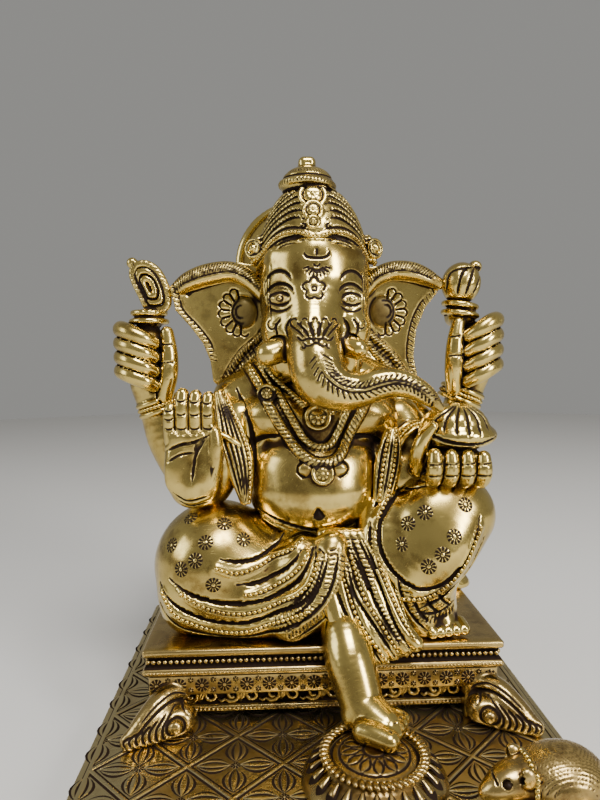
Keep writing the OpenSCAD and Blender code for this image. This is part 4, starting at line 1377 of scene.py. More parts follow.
# %% Bangles and fingers
def bangle(clay, centre, axis, radius, thick=1.2):
    """A pair of rings with a beaded channel between them, inked as painted shade between the beads."""
    n = unit(axis)
    for shift in (-1.7, 1.7):
        clay.add(ring(np.array(centre) + n * shift, n, radius, thick * 0.8), 0.2)
    clay.carve(ring(centre, n, radius + 0.6, 0.9), 0.2, 1)
    side = unit(np.cross(n, (0, 1, 0)))
    up = np.cross(n, side)
    t = np.linspace(0, 2 * math.pi, 40)[:, None]
    ROPE_BEADS.append(np.array(centre) + (side * np.cos(t) + up * np.sin(t)) * (radius + 0.1))


def finger(clay, stations, blend=0.3, spare=0.35):
    """A finger, with an inked crease along both its sides."""
    clay.carve_limb(stations, spare)
    clay.limb(stations, blend, 6)


# %% The raised rear arms
def sculpt_rear_right():
    clay = Clay((-71, -2, 68), (-14, 30, 158), 0.45)
    clay.limb([(-25, 16, 104, 9), (-35, 15, 92, 9), (-42, 14, 82, 8.6), (-50, 13.5, 92, 7.4),
               (-54, 13, 103, 6.2), (-56.5, 13, 112, 6.6)], 2)
    clay.egg((-57.4, 13, 122), (7.4, 7.4, 11), 3)
    bangle(clay, (-53.8, 13, 105), (-2.6, 0, 8), 6.6)
    bangle(clay, (-36, 15, 91), (-6, 0, -6.5), 9.4, 1.1)
    for k in range(4):
        z = 115.2 + 4.6 * k
        finger(clay, [(-64.2, 14, z + 1.6, 2.6), (-64.9, 9, z + 1.8, 2.8), (-61.4, 4.8, z + 0.6, 2.8),
            (-57, 4.2, z - 1.4, 2.6), (-54, 6, z - 3, 2.3)], 0.4, 0.42)
    finger(clay, [(-50.8, 8, 108.5, 2.6), (-49.4, 7.4, 115, 3), (-49, 7.6, 122, 2.8),
        (-49.8, 8.4, 129.5, 2.2)])
    clay.strokes([[(-51.6, 119.5), (-47.2, 119.8)], [(-51.4, 125.5), (-47.6, 125.8)]], 0.55, 0.4)
    # The noose: three ridges wound in a pointed loop, from a ringed collar.
    clay.add(block((-61, 7.5, 131), (-51.5, 17.5, 137.4), 3.4), 0.8)
    for z, r in ((133.4, 5.7), (136.2, 5.2)):
        clay.add(ring((-56.3, 12.3, z), (0, 0, 1), r, 1), 0.2)
    outline = np.array([(-56, 136.8), (-59, 142.2), (-61.4, 147.4), (-62, 150.6), (-60.4, 153),
        (-56.7, 153.4), (-52.6, 150.4), (-49.6, 143.4), (-50, 137.6)])
    clay.add(ball((-61.6, 13, 153), 1.9), 0.5)
    middle = np.array((-56, 144.6))
    for size, depth, radius in ((0.90, 12.5, 1.35), (0.62, 11.6, 1.3), (0.34, 11.2, 1.2)):
        loop = smooth_path(middle + (outline - middle) * size, 5, True)
        path = np.stack([loop[:, 0], 0 * loop[:, 0] + depth, loop[:, 1], 0 * loop[:, 0] + radius], axis=1)
        cut, far = clay.bar(path[:, :3], path[:, 3], REACH)
        clay.d[cut] = smooth_min(clay.d[cut], far, 0.2)
    clay.egg((middle[0], 13.2, middle[1]), (4.4, 1.8, 6), 0.2)
    for size in (0.76, 0.48):
        loop = smooth_path(middle + (outline - middle) * size, 5, True)
        clay.engrave(loop, 1, 0.9)
    ticks(clay, smooth_path(middle + (outline - middle) * 0.97, 3, True), 0.7, 1.7, 0.6)
    cast(clay, "rear right arm", ["rear_right_arm", "rear_right_hand", "noose"])


def sculpt_rear_left():
    clay = Clay((15, -2, 74), (70, 30, 158), 0.45)
    clay.limb([(26, 16, 104, 8.8), (36, 15, 94, 8.6), (43, 15, 87, 8.2), (48, 14, 96, 6.9),
               (50.8, 13, 105, 6), (52.6, 13, 113, 6.6)], 2)
    clay.egg((54.4, 13, 122), (7.6, 7.4, 11), 3)
    bangle(clay, (50.4, 13, 107.4), (2.6, 0, 7), 6.9)
    bangle(clay, (37, 15, 93), (6, 0, -6), 9, 1.1)
    for k in range(4):
        z = 113.6 + 5.0 * k
        finger(clay, [(60.4, 13, z + 4.2, 2.7), (60.8, 8.4, z + 4.6, 2.8), (57.8, 4.8, z + 3.6, 2.9),
            (54, 3.8, z + 1.2, 2.7), (50.6, 5.4, z - 1, 2.3)], 0.4, 0.42)
    finger(clay, [(46.2, 7.6, 110, 2.6), (46, 6.6, 117, 3.1), (46.4, 6.8, 125, 2.9), (47.8, 8, 132, 2.3)])
    clay.strokes([[(43.6, 121), (48.6, 121.4)], [(44.2, 127.5), (49, 128)]], 0.55, 0.4)
    # The lotus bud: a ringed collar, then petals that swirl up to one side.
    clay.add(block((44.8, 7.5, 131), (54.6, 17.5, 139), 3.4), 0.8)
    for z, r in ((135.4, 5.6), (138.4, 5.4)):
        clay.add(ring((49.6, 12.3, z), (0.15, 0, 1), r, 1), 0.2)
    clay.egg((49.8, 12, 145.8), (6.6, 6.2, 7.2), 0.4, turn=(0, 14, 0))
    clay.egg((54.6, 12, 151.4), (2.3, 2.3, 2.2), 0.3)
    for k in range(5):
        x = 45.2 + 2.5 * k
        sweep = [(x - 0.6, 140.4 + 0.15 * k), (x - 1.2 + 0.9 * k, 145), (x + 0.6 + 0.9 * k, 149.6),
                 (54.2, 151)]
        clay.draw(sweep, 0.9, 0.7)
        clay.draw(sweep, 0.8, 0.6, 1, BACK)
    cast(clay, "rear left arm", ["rear_left_arm", "rear_left_hand", "lotus_bud"])


# %% The blessing hand
def sculpt_blessing():
    clay = Clay((-54, -14, 66), (-14, 20, 116), 0.36)
    clay.limb([(-26, 9, 100, 8.4), (-33, 4, 88, 8.4), (-36.5, 2, 81, 8.6), (-38.5, 0, 83, 8)], 2)
    clay.egg((-40.4, -3.2, 79.6), (7.6, 5.8, 6.4), 2)
    clay.add(block((-49.2, -7.6, 79.5), (-33.6, -1.2, 99.5), 3.2), 2.5)
    clay.egg((-45.4, -6, 85.5), (3.4, 2.4, 6.5), 2)
    clay.egg((-36, -6.2, 84.5), (3.4, 2.6, 7.5), 2, turn=(0, -6, 0))
    tips = ((-47.4, 107.6, 2), (-43.5, 112.2, 2.25), (-39.4, 111.6, 2.25), (-35.4, 111, 2.2))
    for x, top, thick in tips:
        finger(clay, [(x * 0.99 - 0.3, -4.8, 95, thick), (x, -5.2, 100, thick), (x, -5.4, (100 + top) / 2,
            thick), (x + 0.3, -5, top - thick, thick * 0.86)], 0.25, 0.18)
    finger(clay, [(-35.4, -5.6, 82, 3), (-33.6, -6.4, 88, 2.5), (-32.9, -6.8, 93.5, 2.3),
        (-33.2, -6.8, 98, 1.8)], 1.2, 0.3)
    for x, top, thick in tips:
        for z in (99.2, 99.2 + (top - 99) * 0.34, 99.2 + (top - 99) * 0.66):
            clay.engrave(arc((x, z + 1.3), (thick * 0.9, 1.6), 215, 325, 9), 0.6, 0.45)
    for line, width in (([(-48.6, 92.2), (-44, 94.1), (-39.2, 95), (-34.9, 97.2)], 1.1),
            ([(-48.2, 88.8), (-44, 91.1), (-39.2, 91.7)], 0.8),
            ([(-35.6, 96.2), (-38.9, 91.7), (-39.9, 87), (-40.5, 81.6)], 0.9),
            ([(-36.4, 95.4), (-38.9, 93.6), (-38.9, 91.5)], 1.1),
            ([(-46.6, 79.4), (-41.5, 76.6), (-34.6, 78.4)], 0.6),
            ([(-45.6, 77.2), (-41, 74.8), (-35, 76.2)], 0.6)):
        clay.draw(line, width, width * 0.7)
    clay.add(ring((-30.5, 5.5, 92.5), (-5.2, -3.8, -9), 9.3, 1.1), 0.3)
    cast(clay, "blessing arm", ["blessing_arm", "blessing_hand"])


# %% The offering hand and the sweet
def sculpt_offering():
    clay = Clay((16, -24, 74), (60, 20, 112), 0.42)
    clay.limb([(27, 9, 100, 8), (33, 5, 89, 8), (36, -1, 86, 7)], 2)
    clay.add(block((31, -14, 82), (51, 0, 92), 4), 2)
    clay.egg((27.5, 2, 81), (7, 7, 9), 3)
    bangle(clay, (31, 2.5, 92), (4, -6, -3), 7.6, 1)
    # The sweet: a cup of dough with pleats that rise to a point.
    clay.egg((43, -7.5, 96.4), (12.4, 10.8, 5), 0.4)
    clay.egg((42.4, -7, 98.6), (10.8, 9.4, 7.8), 1)
    for k, (foot_x, foot_z) in enumerate(((33.5, 98.6), (36.4, 97.2), (40, 96.4), (43.8, 96.2),
            (47.6, 96.4), (51, 97.4), (53.4, 99))):
        top = (42.0 + 0.5 * k, 106.4)
        bend = ((foot_x + top[0]) / 2 + 0.25 * (foot_x - 43), 102.2)
        clay.draw([(foot_x, foot_z), bend, top], 0.8, 0.6)
    clay.draw([(31.6, 98.4), (36, 95.6), (42, 94.4), (48, 94.4), (54, 96.4)], 1.4, 1)
    for k, x in enumerate((33.2, 38.2, 43.2, 48.1)):
        drop_z = 0.5 * k
        finger(clay, [(x, -10.5, 83.2 - drop_z * 0.3, 2.5), (x + 0.1, -15.6, 83.8 - drop_z * 0.3, 2.6),
            (x + 0.2, -18, 87.4 - drop_z * 0.5, 2.5), (x + 0.3, -17.2, 91.4 - drop_z * 0.6, 2.1)])
        for z in (85.2, 88.8):
            clay.strokes([[(x - 1.9, z), (x + 2.1, z + 0.3)]], 0.55, 0.4)
    finger(clay, [(30.5, -8, 86, 3.2), (29.8, -12, 91, 2.8), (31, -13.4, 96, 2.3),
        (33.6, -13.6, 99.6, 1.8)])
    cast(clay, "offering arm", ["offering_arm", "offering_hand", "sweet"])


sculpt_rear_right()
sculpt_rear_left()
sculpt_blessing()
sculpt_offering()

# %% [markdown]
# ## Legs and cloth
#
# The folded right leg is smooth on top and banded below: deep folds alternate with rolled hems that carry
# beads. The raised left knee is a smooth egg framed by a groove and two hems. Between them hang the
# pleats, and the bare right foot comes down over the edge of the seat.

# %% The folded right leg
def sculpt_right_thigh():
    clay = Clay((-59, -24, 33.4), (8, 34, 78), 0.45)
    clay.egg((-33.5, 3, 53.5), (20.5, 20, 20.5))
    clay.egg((-20, 4, 50), (22, 19, 17), 5)
    clay.limb([(-38, 6, 52, 15), (-20, 12, 52, 15)], 5)
    clay.limb([(-41, -5, 44, 10.5), (-22, -9, 43, 9.4), (-6, -9.5, 43, 9)], 5)
    clay.egg((-6, -6, 54), (10, 12, 12), 4)
    clay.limb([(3, -11, 62, 5.5), (1, -15, 54, 6.2), (-4, -16.5, 46, 6.6), (-10, -16, 41, 6)], 3)
    clay.keep(above(SEAT_TOP))
    hem(clay, [(-32.5, 57.8), (-26.5, 56), (-20, 57.4), (-15, 60), (-10, 62.3), (-6.5, 65)], 1.7, 0.6)
    hem(clay, [(-24, 49.6), (-20, 50.2), (-15.5, 51.8), (-11, 54.7), (-7.5, 58), (-5, 61.5)], 1.5, 0.5)
    hem(clay, [(-43.5, 49.8), (-37, 46.4), (-29.5, 44.5), (-21.5, 45), (-14.5, 47.4), (-8.5, 50.4),
               (-4.5, 54.5), (-2, 60.5)], 1.9, 0.7)
    hem(clay, [(-50, 48.8), (-46, 43.6), (-40, 40.4), (-32, 38.2), (-23.5, 38.6), (-17, 41.4),
               (-11.5, 43.9), (-6, 46.5)], 1.9, 0.7)
    fold(clay, [(-31.5, 60.4), (-25.5, 59.2), (-20, 59.9), (-15, 62.5), (-12, 65.2)], 1.5, 1.2)
    fold(clay, [(-26.5, 52.6), (-20, 53), (-14, 55.6), (-9.5, 59.2), (-6.8, 62.6)], 1.5, 1.2)
    fold(clay, [(-47.5, 53.6), (-40, 49.8), (-31.5, 47.6), (-23.5, 47.4), (-15.5, 49.2), (-9.5, 52.8),
                (-6, 57), (-3.2, 63)], 1.7, 1.4)
    fold(clay, [(-51, 51.2), (-46.5, 46.8), (-39.5, 43.3), (-33, 41.5), (-25, 41.4), (-19.5, 43),
                (-13, 45.8), (-7, 48.8), (-3.2, 53), (-0.6, 60)], 1.7, 1.4)
    fold(clay, [(-51, 45), (-46, 40), (-39.5, 37), (-31.5, 35.4), (-23.5, 35.9), (-16.5, 38.6),
                (-10.5, 41.8), (-4, 44.8)], 1.4, 1.1)
    for line in ([(-2.4, 63.5), (-3.2, 58), (-5.8, 52), (-11, 47)], [(1, 62.5), (0, 58), (-3.5, 51),
            (-9.5, 45), (-15.5, 41)], [(4.6, 63.5), (2.5, 55), (-1, 48.5), (-7.5, 43), (-12, 39.5)],
            [(6.6, 60), (5.2, 52), (1.6, 45.5), (-4.5, 40.5), (-10, 37)]):
        fold(clay, line, 1.2, 1)
    ticks(clay, [(-0.8, 62.5), (-1.8, 57.5), (-4.8, 51.2), (-10.4, 45.8), (-15, 43)], 0.8, 1.3, 0.4, 0.55,
          0.4)
    ticks(clay, [(2.8, 63), (1.2, 56), (-2.4, 49.4), (-8.6, 43.6), (-13, 40.4)], 0.8, 1.3, -0.4, 0.55,
          0.4)
    ticks(clay, [(5.6, 61), (4, 53.4), (0.4, 46.8), (-6, 41.6), (-11, 38.4)], 0.8, 1.3, 0.4, 0.55, 0.4)
    stamp_at(clay, [(-36, 65), (-24.5, 65), (-43.5, 57), (-33.5, 53), (-47, 63), (-41.5, 70.5),
        (-30.5, 69.5), (-39, 60)])
    for z in (42, 48, 54, 60):
        fold(clay, [(-53, z - 4), (-40, z), (-26, z + 2), (-14, z + 2)], 1.3, 1, BACK)
    ticks(clay, [(-52, 41), (-40, 45), (-26, 47), (-14, 47)], 1.2, 1.6, 0.5, 0.6, 0.4, BACK)
    cast(clay, "right thigh", ["right_thigh"])


def sculpt_right_shin():
    clay = Clay((-8, -52, 16.5), (30, -2, 60), 0.36)
    clay.limb([(3, -8, 51, 6), (5, -15, 42, 6.4), (5.6, -21, 38, 7.1), (6.6, -25.5, 33, 7.3),
               (8.2, -29.6, 27, 6.7), (9.4, -32.8, 23.2, 6), (12, -36.2, 21.6, 5.4),
               (14.4, -38.8, 20.8, 4.7)], 1)
    clay.egg((7.8, -33.6, 21), (4.8, 4.8, 3.4), 1.5)
    ahead = np.array((0.83, -0.55, 0))
    for k, (reach, thick) in enumerate(((4.4, 3.2), (4.2, 2.4), (3.9, 2.25), (3.5, 2.1), (3, 1.9))):
        root = np.array((11.0 + 1.65 * k + (0.5 if k else 0), -42.4 + 2.1 * k + (0.9 if k else 0), 20.6))
        tip = root + ahead * reach - (0, 0, 0.5)
        finger(clay, [(*(root - ahead * 3), thick), (*root, thick), (*tip, thick * 0.9)], 0.8, 0.15)
        nail = clay.drop([tip + ahead * thick * 0.2], DOWN)
        if len(nail):
            clay.carve(egg(nail[0], (0.8, 0.8, 0.35)), 0.1, 0.7)
    clay.keep(above(PAD_TOP))
    cast(clay, "right shin", ["right_shin"])


# %% The raised left knee and its foot
def sculpt_knee():
    clay = Clay((8, -30, 33.4), (60, 30, 90), 0.45)
    clay.limb([(20, 12, 49, 14), (33, 3, 62, 13.5), (43, -4, 71, 12)], 2)
    clay.egg((33, -7, 66), (13.5, 12.5, 19), 4, turn=(0, 32, 0))
    clay.limb([(44, -6, 70, 11), (36, -11, 61, 11.4), (29, -11, 53, 10.6)], 4)
    clay.limb([(33, -9, 47, 9), (36.5, -7, 40, 7)], 4)
    clay.limb([(24, -8, 50, 9), (19, -8, 60, 9), (20, -4, 70, 8)], 4)
    clay.keep(above(SEAT_TOP))
    hem(clay, [(34, 84.4), (27.5, 81.8), (21.5, 77.6), (17, 71.5)], 1.6, 0.6)
    hem(clay, [(23.5, 48.2), (30.5, 49), (36.8, 52.8), (41.6, 58.2), (44.8, 63.8), (47.6, 69)], 1.8, 0.6)
    ring_line = [(36.5, 82.6), (33.5, 81.5), (26, 79), (20.8, 75), (17.6, 70), (17, 64), (19, 58.5),
        (23.5, 53.8), (28.5, 51.7), (34, 52.7), (39.5, 56.7), (43.5, 61.7), (46, 67.5), (47.6, 72.5)]
    fold(clay, ring_line, 1.7, 1.4)
    fold(clay, [(29, 85.4), (24, 82.8), (19.5, 79.2), (16.4, 74)], 1.4, 1.1)
    fold(clay, [(22, 45.6), (30.5, 46.2), (38, 49.8), (43.5, 55.4), (47, 61), (49.5, 66)], 1.5, 1.2)
    fold(clay, [(14.6, 70), (14, 62), (16.4, 55)], 1.4, 1.1)
    ticks(clay, [(15.6, 68), (15.3, 62), (17.4, 56)], 0.9, 1.4, 0.4)
    stamp_at(clay, [(30.5, 74), (43, 76), (38.5, 67.5), (23.5, 64.5), (30.5, 59), (34.6, 62.5),
        (25.5, 70.5)])
    for z in (46, 53, 60, 67):
        fold(clay, [(18, z), (30, z + 1), (44, z + 5), (54, z + 8)], 1.3, 1, BACK)
    clay.limb([(24, -10, 55, 5), (27, -14, 46, 5.4), (31, -13, 38, 5)], 2)
    for line in ([(21.5, 56), (23.4, 48), (27.5, 41), (32, 37)], [(25.5, 50), (28.5, 44), (32.6, 39.6)],
            [(29.5, 50), (32.2, 45.4), (36, 42)], [(33.5, 51), (36, 47), (39.6, 44)]):
        fold(clay, line, 1.1, 0.9)
    ticks(clay, [(23.4, 53), (25.6, 46.4), (29.8, 40.6)], 0.8, 1.3, 0.4)
    ticks(clay, [(27.6, 49), (30.4, 44.4), (34.4, 40.6)], 0.8, 1.3, 0.4)
    ticks(clay, [(31.6, 50), (34.2, 46), (38, 43)], 0.8, 1.3, 0.4)
    # The foot, flat on the seat with a banded ankle.
    clay.limb([(36.4, -6, 39.2, 5.2), (37.6, -12, 37.6, 4.2)], 1)
    for k in range(5):
        x = 32.6 + 2.6 * k
        clay.limb([(x, -12, 37.2, 2.1), (x + 0.6, -17 + 0.5 * k, 36.4, 1.9)], 0.35)
    clay.draw([(28.5, 44), (32, 43), (36, 43.2), (41, 45.4)], 1, 0.8)
    ticks(clay, [(28.5, 41.6), (32, 40.9), (36, 41), (40.5, 42.6)], 1, 1.4, 0.3)
    cast(clay, "raised knee", ["raised_knee", "left_foot"])


# %% The pleats and the cloth on the seat
def sculpt_pleats():
    clay = Clay((-10, -34, 22), (36, -2, 68), 0.36)
    for k in range(6):
        clay.limb([(0.5 + 2.2 * k, -9 - k * 0.3, 65, 2.8), (1.2 + 3.2 * k, -16.5, 53, 3.4),
                   (4 + 3.6 * k, -21.4, 41, 3.1), (9.5 + 3.4 * k, -23.2, 30 + 1.2 * k, 2.4)], 0.5)
    for k in range(5):
        fold(clay, [(1.6 + 2.2 * k, 66), (2.8 + 3.2 * k, 55), (4.2 + 3.5 * k, 48)], 1, 0.8)
        ticks(clay, [(0.6 + 2.2 * k, 65), (1.4 + 3.2 * k, 55)], 0.7, 1.4, 0.5)
    for line in ([(3, 54), (5.5, 46), (9.5, 40), (14, 34.5), (17, 29)], [(7, 58), (8.5, 51), (11.5, 46),
            (15.5, 40), (20, 33)], [(8, 63), (11, 56.5), (13.5, 51), (16.4, 45), (21.5, 36.5)],
            [(12, 65), (14.5, 60), (15.5, 55.5), (17.8, 49), (20.4, 42), (24.4, 35.5)],
            [(17, 64), (19, 57), (21.4, 50.5), (24, 44), (27.4, 38)]):
        fold(clay, line, 1.3, 1.1)
    # Channels for beads, inked as painted shade between the beads.
    for line in ([(4.8, 57), (7, 50), (9.7, 43), (13.8, 37), (18.5, 30.4)], [(8.4, 60), (10, 53.5),
            (12.6, 47.5), (16.6, 41.4), (20.6, 34.6)], [(15.6, 62), (17.3, 56), (19.4, 50.6), (22, 44.6),
            (25.6, 38.2)]):
        clay.draw(line, 1.9, 0.5)
        HEM_BEADS.append(clay.face_path(smooth_path(line)))
    ticks(clay, [(12.2, 57.5), (14.2, 51.6), (17, 45.2), (21, 38)], 0.8, 1.3, 0.5)
    ticks(clay, [(19.6, 61), (21.4, 55), (23.4, 49), (26.4, 42.5)], 0.9, 1.3, 0.5)
    cast(clay, "pleats", ["pleats"])


def sculpt_tail():
    clay = Clay((36, 16, 33.4), (64, 44, 50), 0.6)
    clay.egg((49.5, 30.5, 36), (10, 8, 4.5), turn=(0, 8, -12))
    clay.egg((43, 33, 39), (7, 7, 5), 2)
    clay.keep(above(SEAT_TOP))
    for k in range(6):
        y = 24 + 2.8 * k
        line = np.array([(41, y + 2, 0), (49, y + 0.6, 0), (58, y - 1.2, 0)])
        clay.engrave_at(clay.drop(even_steps(line, 0.45), (0, 0, -1), 60), 1, 0.7)
    cast(clay, "cloth tail", ["cloth_tail"])


sculpt_right_thigh()
sculpt_right_shin()
sculpt_knee()
sculpt_pleats()
sculpt_tail()

# %% [markdown]
# ## Throne
#
# Straight work is swept: one profile is carried round a rectangle, and each row of the profile says how
# much ink it holds. The scroll feet are clay. Starburst stamps, scrolls and the beaded lips are laid out
# by Geometry Nodes.

# %% Sweeping a profile round a rectangle
CORNER, CORNER_STEPS = 0.9, 5


def rectangle(half_x, low_y, high_y, inset, corner):
    """The points of a rounded rectangle, stepped in by `inset`."""
    points = []
    x0, x1 = -half_x + inset, half_x - inset
    y0, y1 = low_y + inset, high_y - inset
    for cx, cy, start in ((x1 - corner, y0 + corner, -90), (x1 - corner, y1 - corner, 0),
            (x0 + corner, y1 - corner, 90), (x0 + corner, y0 + corner, 180)):
        for k in range(CORNER_STEPS):
            a = math.radians(start + 90 * k / (CORNER_STEPS - 1))
            points.append((cx + corner * math.cos(a), cy + corner * math.sin(a)))
    return points


def sweep_frame(name, half_x, low_y, high_y, profile, nodes, material, corner=CORNER):
    """profile holds rows of (inset, z, ink, recess, ridge), from the top down. Both ends are capped."""
    verts, marks = [], []
    for inset, z, *mark in profile:
        loop = rectangle(half_x, low_y, high_y, inset, corner)
        verts += [(x, y, z) for x, y in loop]
        marks += [mark] * len(loop)
    around = len(loop)
    faces = quad_grid(len(profile), around, closed=True)
    last = (len(profile) - 1) * around
    caps = [tuple(range(around)), tuple(reversed(range(last, last + around)))]
    obj = small_mesh(name, verts, faces + caps, *zip(*marks))
    obj.data.materials.append(material)
    obj.data.shade_smooth()
    # The caps stay flat, so that shading does not bleed round the edge.
    for face in list(obj.data.polygons)[-2:]:
        face.use_smooth = False
    hand_over(obj, nodes)
    print(f"{name}: {len(faces)} faces")


# %% The slab and its aprons
SEAT_X, SEAT_LOW, SEAT_HIGH = 55, -19, 59.0
# The rows at inset 1.7 are inked as painted shade in the channel behind the slab beads. In every profile
# the recess column darkens the brass as painted shade in the hollows, along with antiquing.
SLAB = [(2.6, 34, 0, 0.05, 0.3), (1.2, 34, 0, 0, 0.6), (0.35, 33.8, 0, 0, 0.9), (0, 33.4, 0, 0, 1),
        (0, 32.2, 0, 0, 0.8), (0.2, 31.8, 0, 0.2, 0.4), (0.9, 31.6, 0.7, 0.6, 0), (1.7, 31.5, 1, 1, 0),
        (1.7, 28.2, 1, 1, 0), (0.9, 28, 0.7, 0.6, 0), (0.3, 27.8, 0, 0.2, 0.5), (0, 27.3, 0, 0, 1),
        (0, 26.3, 0, 0, 0.8), (0.4, 25.8, 0.3, 0.3, 0.2), (1.6, 25.5, 1, 0.9, 0)]
APRON = [(1.9, 26, 1, 1, 0), (1.55, 25.2, 0.9, 0.7, 0), (1.45, 24.9, 0, 0.1, 0.6),
         (1.45, 19.7, 0, 0.1, 0.6), (1.7, 19.2, 0, 0, 0.9), (2.6, 19, 0.3, 0.4, 0.2),
         (7.3, 18.9, 1, 1, 0), (7.45, 18.5, 1, 1, 0), (7.5, 13.6, 1, 1, 0), (7.3, 13.2, 0.6, 0.5, 0),
         (6.2, 13, 0, 0, 0.8), (5.9, 12.6, 0, 0, 1), (5.9, 11.4, 0, 0, 0.8), (6.3, 11.05, 0.4, 0.4, 0),
         (9.5, 11, 0.9, 0.9, 0)]

sweep_frame("seat slab", SEAT_X, SEAT_LOW, SEAT_HIGH, SLAB, ["seat_slab"], THRONE)
sweep_frame("aprons", SEAT_X, SEAT_LOW, SEAT_HIGH, APRON, ["apron_front", "apron_back", "apron_right",
    "apron_left"], THRONE)


# %% Beads along the slab and the foot of the frieze
def seat_loop(inset, z):
    """The outline of the seat as a closed path."""
    return [(x, y, z) for x, y in rectangle(SEAT_X, SEAT_LOW, SEAT_HIGH, inset, CORNER)]


beads("slab beads", [seat_loop(1.25, 29.85)], 0.78, 1.75, THRONE, 1, 0, True)
beads("slab rope", [seat_loop(0.25, 26.8)], 0.5, 1.1, THRONE, 1.4, 40, True)
beads("frieze rope", [seat_loop(6, 12)], 0.62, 1.3, THRONE, 1.3, 35, True)


# %% A starburst stamp and a scroll, as small shapes
def starburst(radius, rays=11, dark_part=1.0):
    """A shallow dimpled disc: a boss, dark slots between bright rays, and a sunk rim."""
    rings = ((0, 0.34, 0), (0.2, 0.3, 0), (0.3, 0.1, 0.9), (0.4, 0.2, 0.1), (0.88, 0.16, 0.1),
             (1, -0.1, 0.45))
    steps = rays * 2
    verts = [(0, 0, rings[0][1])]
    ink = [0]
    for r, z, dark in rings[1:]:
        for k in range(steps):
            a = 2 * math.pi * k / steps
            slot = k % 2 and 0.35 < r < 0.9
            verts.append((radius * r * math.cos(a), radius * r * math.sin(a), 0.08 if slot else z))
            ink.append(dark_part * (1.0 if slot else dark))
    faces = [(0, 1 + k, 1 + (k + 1) % steps) for k in range(steps)]
    faces += quad_grid(len(rings) - 1, steps, 1, True)
    ink = np.array(ink)
    return small_mesh("Starburst", verts, faces, ink, ink * 0.6, (1 - ink) * 0.8)


def tube(name, paths, sides):
    """Round bars through [x, y, z, radius] stations, closed at both ends, as one small mesh."""
    verts, faces = [], []
    for path in paths:
        path = np.asarray(path, float)
        way = np.gradient(path[:, :3], axis=0)
        first = len(verts)
        for p, w in zip(path, way):
            w = unit(w)
            side = unit(np.cross(w, (0, 0, 1)))
            up = np.cross(side, w)
            for k in range(sides):
                a = 2 * math.pi * k / sides
                verts.append(p[:3] + (side * math.cos(a) + up * math.sin(a)) * p[3])
        rows = len(path)
        faces += [(a, d, c, b) for a, b, c, d in quad_grid(rows, sides, first, True)]
        faces.append(tuple(reversed(range(first, first + sides))))
        faces.append(tuple(range(first + (rows - 1) * sides, first + rows * sides)))
    # Recess rises towards the underside of each bar: painted shade where the shape lies against its
    # backing. Ridge rises towards the top.
    z = np.array([v[2] for v in verts])
    return small_mesh(name, verts, faces, 0 * z, np.clip(0.25 - 0.6 * z, 0, 0.6), np.clip(0.4 + z, 0, 1))


def scroll_shape():
    """One vine scroll with a side leaf, lying in its own (x, y) plane with +Z outward."""
    t = np.linspace(0, 1, 13)
    a = math.radians(-150) + t * 2.6 * math.pi
    r = 2.3 * (1 - 0.72 * t)
    vine = np.stack([r * np.cos(a), r * np.sin(a), 0.15 + 0.25 * t, 0.62 - 0.12 * t], axis=1)
    leaf = np.array([(1.9, -1.5, 0.1, 0.5), (3, -0.6, 0.2, 0.62), (3.5, 0.9, 0.2, 0.5),
        (3.3, 2.2, 0.1, 0.25)])
    stem = np.array([(-1.9, -1.2, 0.1, 0.45), (-3, -2, 0.1, 0.5), (-3.8, -1.4, 0.1, 0.3)])
    return tube("Scroll", [vine, leaf, stem], 6)


# %% Laying stamps and scrolls round the throne
def around_seat(inset, z, spacing, first=0.0, skip_corner=4.0):
    """Evenly placed points on the four sides, with the way each side faces."""
    points, facing = [], []
    sides = (((-SEAT_X, SEAT_LOW), (SEAT_X, SEAT_LOW), (0, -1, 0)),
             ((SEAT_X, SEAT_LOW), (SEAT_X, SEAT_HIGH), (1, 0, 0)), ((SEAT_X, SEAT_HIGH),
        (-SEAT_X, SEAT_HIGH), (0, 1, 0)), ((-SEAT_X, SEAT_HIGH), (-SEAT_X, SEAT_LOW), (-1, 0, 0)))
    for a, b, out in sides:
        a, b, n = np.array(a), np.array(b), np.array(out, float)
        span = np.linalg.norm(b - a) - 2 * skip_corner
        count = max(int(round(span / spacing)), 1)
        for k in np.arange(count + 1) + first:
            if k > count:
                continue
            at = a + (b - a) / np.linalg.norm(b - a) * (skip_corner + k * span / count)
            points.append((at[0] - n[0] * inset, at[1] - n[1] * inset, z))
            facing.append(out)
    return points, facing


BAND_INSET, STAMP_SPACING = 1.42, 6.6
places, ways = around_seat(BAND_INSET, 22.3, STAMP_SPACING)
scatter("band stamps", starburst(2.25, 10), places, ways, THRONE)
places, ways = around_seat(BAND_INSET, 23.9, STAMP_SPACING, 0.5)
low_places, low_ways = around_seat(BAND_INSET, 20.7, STAMP_SPACING, 0.5)
scatter("band small stamps", starburst(0.95, 6), places + low_places, ways + low_ways, THRONE)


def scrolls_round(name, inset, z, spacing):
    places, ways = around_seat(inset, z, spacing, 0, 13.5)
    spins = []
    for index, way in enumerate(ways):
        # The shape's own +Y is turned upright, and every second scroll is upside down.
        upright = {(0, -1, 0): 0, (1, 0, 0): math.pi / 2, (0, 1, 0): math.pi,
                   (-1, 0, 0): -math.pi / 2}[way]
        spins.append(upright + math.pi * (index % 2))
    scatter(name, scroll_shape(), places, ways, THRONE, spins, scale=1.12)


scrolls_round("frieze scrolls", 7.1, 16.1, 6.2)


